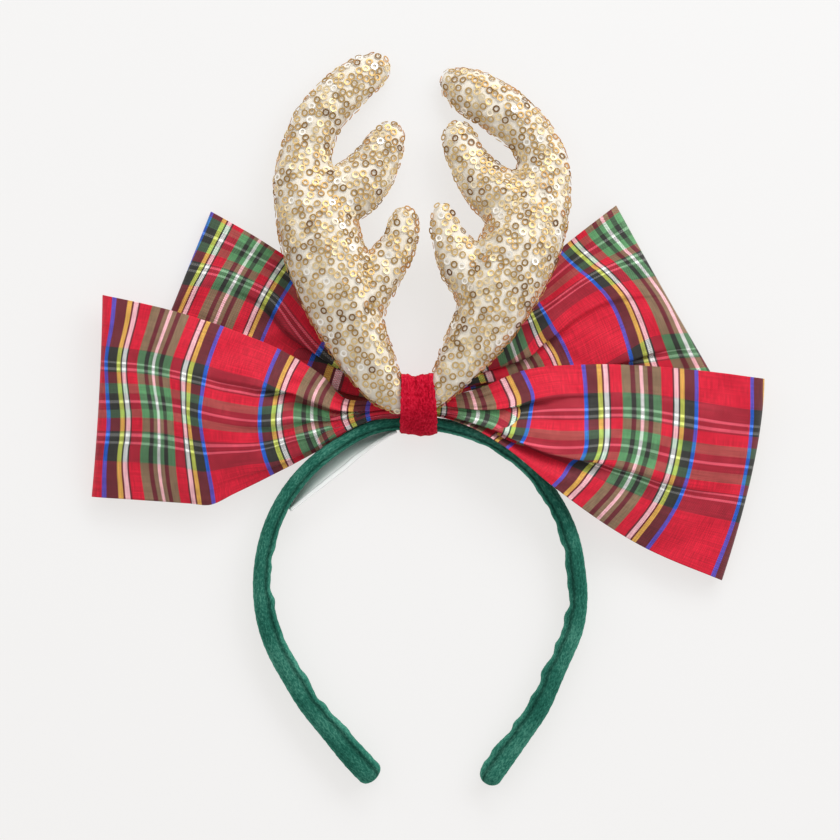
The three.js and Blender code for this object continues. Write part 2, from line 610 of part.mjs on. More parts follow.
const antlerHeadband = new THREE.Group();
antlerHeadband.name = "antler_headband";
antlerHeadband.add(
  piece("headband", headband(), FINISH.velvet),
  piece("inner_label", innerLabel(), FINISH.satin),
  piece("bow_back", bow(BOW_BACK), FINISH.backTartan),
  piece("bow_front", bow(BOW_FRONT), FINISH.frontTartan),
  piece("antler_left", antler(ANTLERS.left), FINISH.sequinCloth),
  piece("antler_right", antler(ANTLERS.right), FINISH.sequinCloth.clone()),
  piece("centre_wrap", centreWrap(), FINISH.felt),
);

export default antlerHeadband;
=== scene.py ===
"""Looks of an antler headband that lies face up on a pale floor.

A velvet Alice band carries two tartan bows, one behind the other, and a pair of stuffed antlers
covered in ring sequins. A felt wrap holds them at the crown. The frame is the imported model's own,
and the tables of places and sizes are in millimetres.
"""

import logging
import math
from dataclasses import dataclass, field
from enum import Enum
from typing import Any, ClassVar

import bpy
import numpy as np
from mathutils.kdtree import KDTree
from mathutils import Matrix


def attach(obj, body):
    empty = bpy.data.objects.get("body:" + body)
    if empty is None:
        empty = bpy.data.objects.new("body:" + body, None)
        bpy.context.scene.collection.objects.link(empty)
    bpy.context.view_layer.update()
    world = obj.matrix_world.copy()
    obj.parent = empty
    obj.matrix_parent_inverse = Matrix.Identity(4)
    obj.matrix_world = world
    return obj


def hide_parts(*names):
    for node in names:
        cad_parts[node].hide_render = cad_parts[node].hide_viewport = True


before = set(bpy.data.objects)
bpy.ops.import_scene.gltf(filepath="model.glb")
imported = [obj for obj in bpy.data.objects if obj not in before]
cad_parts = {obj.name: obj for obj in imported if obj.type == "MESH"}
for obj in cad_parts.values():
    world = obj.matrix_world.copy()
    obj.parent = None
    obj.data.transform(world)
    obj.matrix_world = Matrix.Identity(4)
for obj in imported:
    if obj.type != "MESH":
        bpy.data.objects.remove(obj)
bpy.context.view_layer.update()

LOG = logging.getLogger("antler_headband")
MM = 0.001
BODY = "root"
GAMMA = 2.2
Array = np.ndarray
Pair = tuple[float, float]
Triple = tuple[float, float, float]
Row = tuple[float, float, float, float]
Stops = list[tuple[float, tuple[float, ...]]]


class Side(Enum):
    """A side of the headband, with its sign along X."""

    LEFT = -1
    RIGHT = 1


# Curves and grids


def smooth_rows(rows: Array, at: Array) -> Array:
    """Read a table as smooth curves.

    Each stretch between two rows is a cubic whose end slopes are the mean of the slopes on both
    sides of the row, weighted so that the nearer neighbour counts more.

    Args:
        rows: Table whose first column is the key, in rising order.
        at: Keys to read, as a flat array.

    Returns:
        One row of the other columns for each key.
    """
    keys, values = rows[:, 0], rows[:, 1:]
    gaps = np.diff(keys)[:, None]
    slopes = np.diff(values, axis=0) / gaps
    inner = (slopes[:-1] * gaps[1:] + slopes[1:] * gaps[:-1]) / (gaps[1:] + gaps[:-1])
    tangents = np.concatenate([slopes[:1], inner, slopes[-1:]])
    place = np.clip(np.searchsorted(keys, at) - 1, 0, len(keys) - 2)
    gap = gaps[place]
    t = np.clip((at - keys[place])[:, None] / gap, 0.0, 1.0)
    start, end = values[place], values[place + 1]
    bend = t * (1 - t)
    lead = tangents[place] * gap - (end - start)
    trail = (end - start) - tangents[place + 1] * gap
    return start + (end - start) * t + bend * (lead * (1 - t) + trail * t)


def polyline(knots: Array, values: Array, at: Array) -> Array:
    """Read many broken lines at once: the sum of each stretch's rise times its share walked.

    Args:
        knots: Falling keys of each line, one line in each row.
        values: Values at those keys.
        at: Keys to read in every line.

    Returns:
        One row of values for each line.
    """
    found = np.repeat(values[:, :1], len(at), axis=1)
    for j in range(knots.shape[1] - 1):
        span = knots[:, j] - knots[:, j + 1]
        walked = np.clip((knots[:, j, None] - at[None, :]) / span[:, None], 0.0, 1.0)
        found = found + (values[:, j + 1] - values[:, j])[:, None] * walked
    return found


def soften(values: Array, passes: int) -> Array:
    """Average along each row: half of a value and a quarter of each neighbour.

    Args:
        values: Rows of values.
        passes: How many times over.

    Returns:
        The softened rows.
    """
    for _ in range(passes):
        padded = np.concatenate([values[:, :1], values, values[:, -1:]], axis=1)
        values = 0.25 * padded[:, :-2] + 0.5 * padded[:, 1:-1] + 0.25 * padded[:, 2:]
    return values


def smoothstep(low: float, high: float, value: Array) -> Array:
    """Rise from 0 at low to 1 at high with level ends: 3t squared less 2t cubed."""
    t = np.clip((value - low) / (high - low), 0.0, 1.0)
    return t * t * (3 - 2 * t)


def bell(value: Array, centre: float, wide: float) -> Array:
    """A bump of height 1: e to minus the square of the distance from its centre over its width."""
    return np.exp(-(((value - centre) / wide) ** 2))


def parabola(low: Array, middle: Array, high: Array, at: Array) -> Array:
    """Join three values by a parabola: the first at -1, the second at 0 and the third at 1."""
    return middle + (high - low) / 2 * at + ((high + low) / 2 - middle) * at**2


def unit(rows: Array) -> Array:
    """Rows scaled to length 1."""
    return rows / np.linalg.norm(rows, axis=1, keepdims=True)


def ripples(u: Array, v: Array | float, waves: tuple[Row, ...]) -> Array:
    """Sum of plane waves, each a height times the sine of u over one pitch plus v over another.

    Args:
        u: First coordinate.
        v: Second coordinate, of a shape that broadcasts with the first.
        waves: Rows of height, turns for each unit of u, turns for each unit of v, and phase.

    Returns:
        The summed heights.
    """
    total = np.zeros(np.broadcast(u, v).shape)
    for height, along, across, phase in waves:
        total = total + height * np.sin(2 * math.pi * (along * u + across * v) + phase)
    return total


def grid_faces(rows: int, columns: int, closed: bool) -> Array:
    """Quads between neighbouring rows and columns of a grid.

    Args:
        rows: Number of rows of points.
        columns: Number of points in a row.
        closed: Whether the last column joins the first.

    Returns:
        Point numbers of each quad.
    """
    r = np.arange(rows - 1)[:, None]
    c = np.arange(columns if closed else columns - 1)[None, :]
    after = (c + 1) % columns
    corners = [r * columns + c, r * columns + after, (r + 1) * columns + after, (r + 1) * columns + c]
    return np.stack(np.broadcast_arrays(*corners), axis=-1).reshape(-1, 4)


def place_object(name: str, data: bpy.types.ID) -> bpy.types.Object:
    """Put new data into the scene as an object at the origin."""
    obj = bpy.data.objects.new(name, data)
    bpy.context.scene.collection.objects.link(obj)
    return obj


def finished(obj: bpy.types.Object) -> bpy.types.Object:
    """The piece as its modifiers leave it."""
    return obj.evaluated_get(bpy.context.evaluated_depsgraph_get())


def points_of(mesh: bpy.types.Mesh) -> Array:
    """Read a mesh's points.

    Args:
        mesh: The mesh.

    Returns:
        One row for each point, in metres.
    """
    flat = np.empty(len(mesh.vertices) * 3, np.float32)
    mesh.vertices.foreach_get("co", flat)
    return flat.reshape(-1, 3).astype(float)


def set_points(mesh: bpy.types.Mesh, points: Array) -> None:
    """Move a mesh's points to places in metres."""
    mesh.vertices.foreach_set("co", points.astype(np.float32).ravel())


def set_attribute(obj: bpy.types.Object, name: str, values: Array) -> None:
    """Store a number or a vector at each point of a piece.

    Args:
        obj: The piece.
        name: The attribute's name.
        values: A number or a row of three for each point.
    """
    kind, key = ("FLOAT_VECTOR", "vector") if values.ndim == 2 else ("FLOAT", "value")
    layer = obj.data.attributes.new(name, kind, "POINT")
    layer.data.foreach_set(key, values.astype(np.float32).ravel())


@dataclass
class Shape:
    """Points and faces of one piece, in millimetres, with places on its cloth if it has them."""

    points: Array
    quads: Array
    triangles: Array = field(default_factory=lambda: np.zeros((0, 3), int))
    uv: Array | None = None

    @classmethod
    def sheet(cls, points: Array, uv: Array | None = None, closed: bool = False) -> "Shape":
        """Make a sheet from a grid of points.

        Args:
            points: The grid, as rows of points.
            uv: Places on the cloth, if it has them.
            closed: Whether the last column joins the first.

        Returns:
            The sheet.
        """
        rows, columns = points.shape[:2]
        flat_uv = None if uv is None else uv.reshape(-1, 2)
        return cls(points.reshape(-1, 3), grid_faces(rows, columns, closed), uv=flat_uv)

    @classmethod
    def tube(cls, rings: Array) -> "Shape":
        """Make a closed tube, with a fan of triangles over each end.

        Args:
            rings: Rings of points along it.

        Returns:
            The tube.
        """
        rows, columns = rings.shape[:2]
        ends = np.stack([rings[0].mean(axis=0), rings[-1].mean(axis=0)])
        side = np.arange(columns)
        after = (side + 1) % columns
        last = (rows - 1) * columns
        first_fan = np.stack([np.full(columns, rows * columns), after, side], axis=1)
        last_fan = np.stack([np.full(columns, rows * columns + 1), last + side, last + after], axis=1)
        points = np.concatenate([rings.reshape(-1, 3), ends])
        return cls(points, grid_faces(rows, columns, True), np.concatenate([first_fan, last_fan]))

    def joined(self, other: "Shape") -> "Shape":
        """Put another shape beside this one.

        Args:
            other: The other shape.

        Returns:
            One set of points and faces.
        """
        shift = len(self.points)
        return Shape(
            np.concatenate([self.points, other.points]),
            np.concatenate([self.quads, other.quads + shift]),
            np.concatenate([self.triangles, other.triangles + shift]),
        )

    def to_object(self, name: str, smooth: bool = True) -> bpy.types.Object:
        """Put the shape into a mesh object at the origin, in metres.

        Args:
            name: Name of the object and its mesh.
            smooth: Whether its faces are shaded smooth.

        Returns:
            The new object.
        """
        mesh = bpy.data.meshes.new(name)
        loops = np.concatenate([self.quads.ravel(), self.triangles.ravel()]).astype(np.int32)
        sizes = np.concatenate([np.full(len(self.quads), 4), np.full(len(self.triangles), 3)])
        mesh.vertices.add(len(self.points))
        set_points(mesh, self.points * MM)
        mesh.loops.add(len(loops))
        mesh.loops.foreach_set("vertex_index", loops)
        mesh.polygons.add(len(sizes))
        starts = np.concatenate([[0], np.cumsum(sizes)[:-1]]).astype(np.int32)
        mesh.polygons.foreach_set("loop_start", starts)
        mesh.update(calc_edges=True)
        mesh.polygons.foreach_set("use_smooth", np.full(len(sizes), smooth))
        if self.uv is not None:
            layer = mesh.uv_layers.new(name="cloth")
            layer.data.foreach_set("uv", self.uv[loops].astype(np.float32).ravel())
        mesh.validate()
        return place_object(name, mesh)


# Shader maths


class Value:
    """A number that changes over a surface. Arithmetic on it adds Math nodes."""

    def __init__(self, graph: "Graph", socket: bpy.types.NodeSocket) -> None:
        """Wrap an output socket of a graph."""
        self.graph = graph
        self.socket = socket

    def math(self, operation: str, *values: Any) -> "Value":
        """Add one Math node.

        Args:
            operation: What it works out.
            values: Its inputs, in order.

        Returns:
            Its result.
        """
        inputs = dict(enumerate(values))
        node = self.graph.node("ShaderNodeMath", {"operation": operation}, inputs)
        return Value(self.graph, node.outputs[0])

    def __add__(self, other: Any) -> "Value":
        """Sum."""
        return self.math("ADD", self, other)

    def __radd__(self, other: Any) -> "Value":
        """Sum, from the right."""
        return self.math("ADD", other, self)

    def __sub__(self, other: Any) -> "Value":
        """Difference."""
        return self.math("SUBTRACT", self, other)

    def __rsub__(self, other: Any) -> "Value":
        """Difference, from the right."""
        return self.math("SUBTRACT", other, self)

    def __mul__(self, other: Any) -> "Value":
        """Product."""
        return self.math("MULTIPLY", self, other)

    def __rmul__(self, other: Any) -> "Value":
        """Product, from the right."""
        return self.math("MULTIPLY", other, self)

    def sine(self) -> "Value":
        """Sine of the value in radians."""
        return self.math("SINE", self)

    def fold(self, length: float) -> "Value":
        """Go up and down between 0 and a length."""
        return self.math("PINGPONG", self, length)


class Graph:
    """The nodes of one material or of the world."""

    def __init__(self, owner: bpy.types.Material | bpy.types.World) -> None:
        """Start with no nodes."""
        self.owner = owner
        owner.use_nodes = True
        self.tree = owner.node_tree
        self.tree.nodes.clear()

    @classmethod
    def material(cls, name: str) -> "Graph":
        """Start a new material."""
        return cls(bpy.data.materials.new(name))

    def node(self, kind: str, settings: dict[str, Any] | None = None,
             inputs: dict[Any, Any] | None = None) -> bpy.types.Node:
        """Add a node of any kind.

        Args:
            kind: The node's type.
            settings: Its properties, set first; stops is a ramp's list of place and colour.
            inputs: Values, sockets or Values for its inputs, by number or identifier.

        Returns:
            The new node.
        """
        made = self.tree.nodes.new(kind)
        for key, setting in (settings or {}).items():
            if key == "stops":
                self.set_stops(made.color_ramp, setting)
            elif key == "interpolation":
                made.color_ramp.interpolation = setting
            else:
                setattr(made, key, setting)
        for key, given in (inputs or {}).items():
            socket = made.inputs[key] if isinstance(key, int) else self.find(made, key)
            source = given.socket if isinstance(given, Value) else given
            if isinstance(source, bpy.types.NodeSocket):
                self.tree.links.new(source, socket)
            else:
                socket.default_value = source
        return made

    @staticmethod
    def find(node: bpy.types.Node, key: str) -> bpy.types.NodeSocket:
        """Find an input by its identifier."""
        return next(socket for socket in node.inputs if socket.identifier == key)

    @staticmethod
    def set_stops(ramp: bpy.types.ColorRamp, stops: Stops) -> None:
        """Set a ramp's stops.

        Args:
            ramp: The ramp.
            stops: Places and colours, in rising order. A colour may end with its alpha.
        """
        while len(ramp.elements) > 1:
            ramp.elements.remove(ramp.elements[-1])
        for number, (place, colour) in enumerate(stops):
            stop = ramp.elements[0] if number == 0 else ramp.elements.new(place)
            stop.position = place
            stop.color = (*colour, 1.0)[:4]

    def value(self, kind: str, settings: dict[str, Any] | None = None,
              inputs: dict[Any, Any] | None = None, output: int = 0) -> Value:
        """Add a node and wrap one of its outputs."""
        return Value(self, self.node(kind, settings, inputs).outputs[output])

    def ramp(self, factor: Value, stops: Stops, interpolation: str = "LINEAR") -> bpy.types.Node:
        """Turn a value into a colour and an alpha."""
        settings = {"interpolation": interpolation, "stops": stops}
        return self.node("ShaderNodeValToRGB", settings, {0: factor})

    def mix(self, factor: Any, first: Any, second: Any, blend: str = "MIX") -> bpy.types.NodeSocket:
        """Mix two colours.

        Args:
            factor: Share of the second.
            first: First colour.
            second: Second colour.
            blend: How they blend.

        Returns:
            The mixed colour.
        """
        settings = {"data_type": "RGBA", "blend_type": blend}
        inputs = {"Factor_Float": factor, "A_Color": first, "B_Color": second}
        made = self.node("ShaderNodeMix", settings, inputs)
        return next(socket for socket in made.outputs if socket.identifier == "Result_Color")

    def shade(self, colour: Any, tone: Value) -> bpy.types.NodeSocket:
        """Multiply a colour by a value."""
        grey = self.node("ShaderNodeCombineColor", inputs={0: tone, 1: tone, 2: tone}).outputs[0]
        return self.mix(1.0, colour, grey, "MULTIPLY")

    def noise(self, place: Any, scale: float, detail: float = 2.0, stretch: Triple = (1, 1, 1)) -> Value:
        """Noise from 0 to 1 about a half.

        Args:
            place: Places on the piece.
            scale: Patches for each unit of place.
            detail: How many finer layers are added.
            stretch: Factors of the places along each axis, used first.

        Returns:
            The noise.
        """
        if stretch != (1, 1, 1):
            place = self.node("ShaderNodeMapping", inputs={0: place, 3: stretch}).outputs[0]
        inputs = {"Vector": place, "Scale": scale, "Detail": detail}
        return self.value("ShaderNodeTexNoise", {"noise_dimensions": "3D"}, inputs)

    def attribute(self, name: str, output: int) -> Value:
        """Read a named attribute of the piece: output 1 is a vector and 2 a number."""
        return self.value("ShaderNodeAttribute", {"attribute_name": name}, output=output)

    def object_place(self) -> bpy.types.NodeSocket:
        """Places on the piece in metres."""
        return self.node("ShaderNodeTexCoord").outputs["Object"]

    def bump(self, height: Value, strength: float, distance: float) -> bpy.types.NodeSocket:
        """A normal from heights."""
        inputs = {"Strength": strength, "Distance": distance, "Height": height}
        return self.node("ShaderNodeBump", inputs=inputs).outputs[0]

    def surface(self, **inputs: Any) -> bpy.types.Material:
        """Finish the material with one shader.

        Args:
            inputs: The shader's inputs by name, with _ for each space.

        Returns:
            The material.
        """
        named = {key.replace("_", " "): given for key, given in inputs.items()}
        shader = self.node("ShaderNodeBsdfPrincipled", inputs=named)
        self.node("ShaderNodeOutputMaterial", inputs={0: shader.outputs[0]})
        return self.owner


def encoded(red: int, green: int, blue: int) -> Triple:
    """A screen colour as fractions."""
    return red / 255, green / 255, blue / 255


def linear(red: int, green: int, blue: int) -> Triple:
    """A screen colour as light: each fraction to the power of the screen's gamma."""
    return tuple(part**GAMMA for part in encoded(red, green, blue))


# Finishes


class Yarn(Enum):
    """Dyed threads of the tartan, as screen colours."""

    RED = encoded(205, 26, 52)
    BLUE = encoded(28, 100, 238)
    BLACK = encoded(50, 50, 47)
    YELLOW = encoded(216, 226, 90)
    WHITE = encoded(250, 250, 248)
    GREEN = encoded(92, 146, 98)


@dataclass(frozen=True)
class Tartan:
    """Plain-weave tartan. Each half sett runs from the middle of the wide red stripe to a white line."""

    pitch: float = 0.42
    first_red: float = -8.0
    weave_depth: float = 0.24
    warp_slub: float = 0.42
    weft_slub: float = 0.46
    cross_tone: float = 0.05
    base_tone: float = 0.58
    cross_height: float = 0.5
    slub_height: float = 0.8
    uv_size: ClassVar[Pair] = (600.0, 200.0)
    warp: ClassVar[tuple[tuple[Yarn, float], ...]] = (
        (Yarn.RED, 11.0), (Yarn.BLUE, 1.5), (Yarn.BLACK, 3.9), (Yarn.YELLOW, 1.7), (Yarn.BLACK, 0.6),
        (Yarn.WHITE, 1.7), (Yarn.BLACK, 0.6), (Yarn.RED, 4.2), (Yarn.GREEN, 3.2), (Yarn.BLACK, 1.7),
        (Yarn.GREEN, 1.7), (Yarn.WHITE, 0.7),
    )
    weft: ClassVar[tuple[tuple[Yarn, float], ...]] = (
        (Yarn.RED, 12.8), (Yarn.BLACK, 6.9), (Yarn.WHITE, 1.1), (Yarn.BLACK, 1.6), (Yarn.WHITE, 1.1),
        (Yarn.BLACK, 0.8), (Yarn.RED, 4.4), (Yarn.GREEN, 4.0), (Yarn.BLACK, 2.6), (Yarn.WHITE, 0.7),
    )
    cover: ClassVar[dict[Yarn, float]] = {
        Yarn.RED: 0.35, Yarn.BLACK: 0.31, Yarn.WHITE: 0.22, Yarn.GREEN: 0.36,
    }

    def stripes(self, graph: Graph, place: Value, rows: tuple[tuple[Yarn, float], ...]) -> bpy.types.Node:
        """Chart half a sett as the steps of a ramp, and fold the strip onto it.

        Args:
            graph: The material's nodes.
            place: Distance from the middle of the wide red stripe.
            rows: Yarns and the widths of their stripes.

        Returns:
            A ramp whose colour is the yarn's and whose alpha is how much it covers.
        """
        widths = [width for _, width in rows]
        half = sum(widths)
        starts = [sum(widths[:i]) / half for i in range(len(widths))]
        stops = [(start, (*yarn.value, self.cover.get(yarn, 1.0))) for start, (yarn, _) in zip(starts, rows)]
        return graph.ramp(place.fold(half) * (1 / half), stops, "CONSTANT")

    def material(self) -> bpy.types.Material:
        """Make the cloth: threads cross over and under, so their colours mix as seen by eye.

        Returns:
            The material.
        """
        graph = Graph.material("tartan_cloth")
        uv = graph.node("ShaderNodeUVMap", {"uv_map": "cloth"}).outputs[0]
        split = graph.node("ShaderNodeSeparateXYZ", inputs={0: uv})
        u, v = ((Value(graph, split.outputs[i]) - 0.5) * self.uv_size[i] for i in range(2))
        warp = self.stripes(graph, u - self.first_red, self.warp)
        weft = self.stripes(graph, v + sum(width for _, width in self.weft), self.weft)
        over = (u * (math.pi / self.pitch)).sine() * (v * (math.pi / self.pitch)).sine()
        share = Value(graph, weft.outputs[1]) - over * self.weave_depth
        mixed = graph.mix(share, warp.outputs[0], weft.outputs[0])
        warp_slub = graph.noise(uv, scale=60.0, stretch=(20.0, 0.6, 1.0))
        weft_slub = graph.noise(uv, scale=60.0, stretch=(0.5, 9.0, 1.0))
        slubs = warp_slub * self.warp_slub + weft_slub * self.weft_slub
        tone = slubs + over * self.cross_tone + self.base_tone
        light = graph.node("ShaderNodeGamma", inputs={0: graph.shade(mixed, tone), 1: GAMMA}).outputs[0]
        height = over * self.cross_height + weft_slub * self.slub_height
        return graph.surface(
            Base_Color=light, Roughness=0.72, Sheen_Weight=0.08, Sheen_Roughness=0.5,
            Specular_IOR_Level=0.35, Normal=graph.bump(height, strength=0.22, distance=0.00012),
        )


@dataclass(frozen=True)
class Pile:
    """A soft matt cloth with fibres: velvet or felt."""

    name: str
    dark: Triple
    mid: Triple
    pale: Triple
    sheen: float
    grain: float
    stretch: Triple
    rough: float
    spread: float
    combed: bool = False
    patch_scale: float = 70.0
    fibre_finer: float = 2.6
    fibre_height: float = 0.6
    shares: ClassVar[Row] = (0.55, 0.35, 0.3, 0.1)

    def material(self) -> bpy.types.Material:
        """Make the pile: tufts in fine noise, and wide patches where the pile lies another way.

        A combed pile takes its places along the piece from the attribute lie, so that its tufts
        follow the piece, and the attribute shade multiplies its colour by painted shade and painted sheen.

        Returns:
            The material.
        """
        graph = Graph.material(self.name)
        place = graph.attribute("lie", 1).socket if self.combed else graph.object_place()
        tufts = graph.noise(place, self.grain, detail=3.0, stretch=self.stretch)
        patches = graph.noise(place, self.patch_scale)
        fibres = graph.noise(place, self.grain * self.fibre_finer)
        tuft_share, patch_share, fibre_share, darker = self.shares
        lie = tufts * tuft_share + patches * patch_share + fibres * fibre_share - darker
        stops = [(0.5 - self.spread, self.dark), (0.5, self.mid), (0.5 + self.spread, self.pale)]
        colour = graph.ramp(lie, stops).outputs[0]
        if self.combed:
            # Painted shade in the groove and painted sheen on the flanks, from the attribute shade.
            colour = graph.shade(colour, graph.attribute("shade", 2))
        height = tufts + fibres * self.fibre_height
        return graph.surface(
            Base_Color=colour, Roughness=0.95, Sheen_Weight=self.sheen,
            Sheen_Roughness=0.45, Sheen_Tint=(*self.pale, 1.0), Specular_IOR_Level=0.1,
            Normal=graph.bump(height, self.rough, distance=0.0006),
        )


@dataclass(frozen=True)
class Satin:
    """Blank white ribbon of the inner label."""

    def material(self) -> bpy.types.Material:
        """Make the satin: fine ribs along the ribbon under a soft gloss.

        Returns:
            The material.
        """
        graph = Graph.material("white_satin")
        ribs = graph.noise(graph.object_place(), scale=900.0, stretch=(0.3, 0.3, 3.0))
        colour = graph.ramp(ribs, [(0.3, (0.9, 0.9, 0.89)), (0.7, (0.97, 0.97, 0.96))]).outputs[0]
        normal = graph.bump(ribs, strength=0.3, distance=0.0002)
        return graph.surface(Base_Color=colour, Roughness=0.42, Normal=normal)


@dataclass(frozen=True)
class Ivory:
    """Pale backing cloth of the antlers."""

    knit_share: float = 0.35
    patch_share: float = 0.65

    def material(self) -> bpy.types.Material:
        """Make the cloth: a fine knit with faint warm patches.

        Returns:
            The material.
        """
        graph = Graph.material("ivory_cloth")
        place = graph.object_place()
        knit = graph.noise(place, scale=1900.0, stretch=(1.0, 0.55, 1.0))
        patch = graph.noise(place, scale=110.0, detail=3.0)
        tone = knit * self.knit_share + patch * self.patch_share
        stops = [(0.3, linear(226, 216, 198)), (0.6, linear(238, 231, 217)), (0.8, linear(243, 238, 227))]
        return graph.surface(
            Base_Color=graph.ramp(tone, stops).outputs[0], Roughness=0.8, Sheen_Weight=0.15,
            Normal=graph.bump(knit, strength=0.35, distance=0.0004),
        )


@dataclass(frozen=True)
class Gilt:
    """Gold film of the sequins. Each ring has its own tone; a painted white glint and a painted coppery
    reflection each have one of their own.
    """

    plain_tones: ClassVar[float] = 0.86
    # The last two tones are painted light: a white glint and a coppery reflection on steep rings.
    painted_glint_tone: ClassVar[float] = 0.87
    painted_reflection_tone: ClassVar[float] = 0.9

    def material(self) -> bpy.types.Material:
        """Make the film: bronze to pale gold by the ring's tone, a painted white glint or a painted coppery
        reflection.

        Returns:
            The material.
        """
        graph = Graph.material("gilt_sequin")
        stops = [
            (0.0, linear(116, 80, 40)), (0.1, linear(158, 122, 66)), (0.35, linear(190, 154, 94)),
            (0.62, linear(214, 182, 122)), (0.84, linear(238, 214, 164)),
            # A painted white glint, then a painted coppery reflection for rings on steep sides.
            (self.painted_glint_tone, linear(255, 252, 246)), (self.painted_reflection_tone, linear(208, 160, 98)),
            (1.0, linear(188, 130, 74)),
        ]
        colour = graph.ramp(graph.attribute("tone", 2), stops).outputs[0]
        return graph.surface(Base_Color=colour, Roughness=0.34, Metallic=0.5)


@dataclass(frozen=True)
class LightTable:
    """A matt floor with a faint mottle and a glow of its own."""

    colour: Triple = (0.2, 0.213, 0.223)
    glow: Triple = (0.7, 0.678, 0.66)
    mottle: float = 0.99

    def material(self) -> bpy.types.Material:
        """Make the floor's finish.

        Returns:
            The material.
        """
        graph = Graph.material("pale_floor")
        patches = graph.noise(graph.object_place(), scale=3.0)
        stops = [(0.3, tuple(part * self.mottle for part in self.colour)), (0.7, self.colour)]
        return graph.surface(
            Base_Color=graph.ramp(patches, stops).outputs[0], Roughness=0.7, Specular_IOR_Level=0.2,
            Emission_Color=(*self.glow, 1.0), Emission_Strength=1.0,
        )


def dress(obj: bpy.types.Object, finish: bpy.types.Material, node: str | None) -> None:
    """Give a piece its finish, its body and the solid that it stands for.

    Args:
        obj: The piece.
        finish: Its material.
        node: Name of the solid that it replaces, if any.
    """
    obj.data.materials.clear()
    obj.data.materials.append(finish)
    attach(obj, BODY)
    if node is not None:
        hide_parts(node)
    LOG.info("%s: %d points, %d faces", obj.name, len(obj.data.vertices), len(obj.data.polygons))


def thicken(obj: bpy.types.Object, wall: float, offset: float = 0.0) -> None:
    """Give a sheet its thickness.

    Args:
        obj: The sheet.
        wall: Its thickness in millimetres.
        offset: -1 puts it behind the sheet, 0 on both sides.
    """
    shell = obj.modifiers.new("wall", "SOLIDIFY")
    shell.thickness = wall * MM
    shell.offset = offset
    shell.use_even_offset = False


# Headband


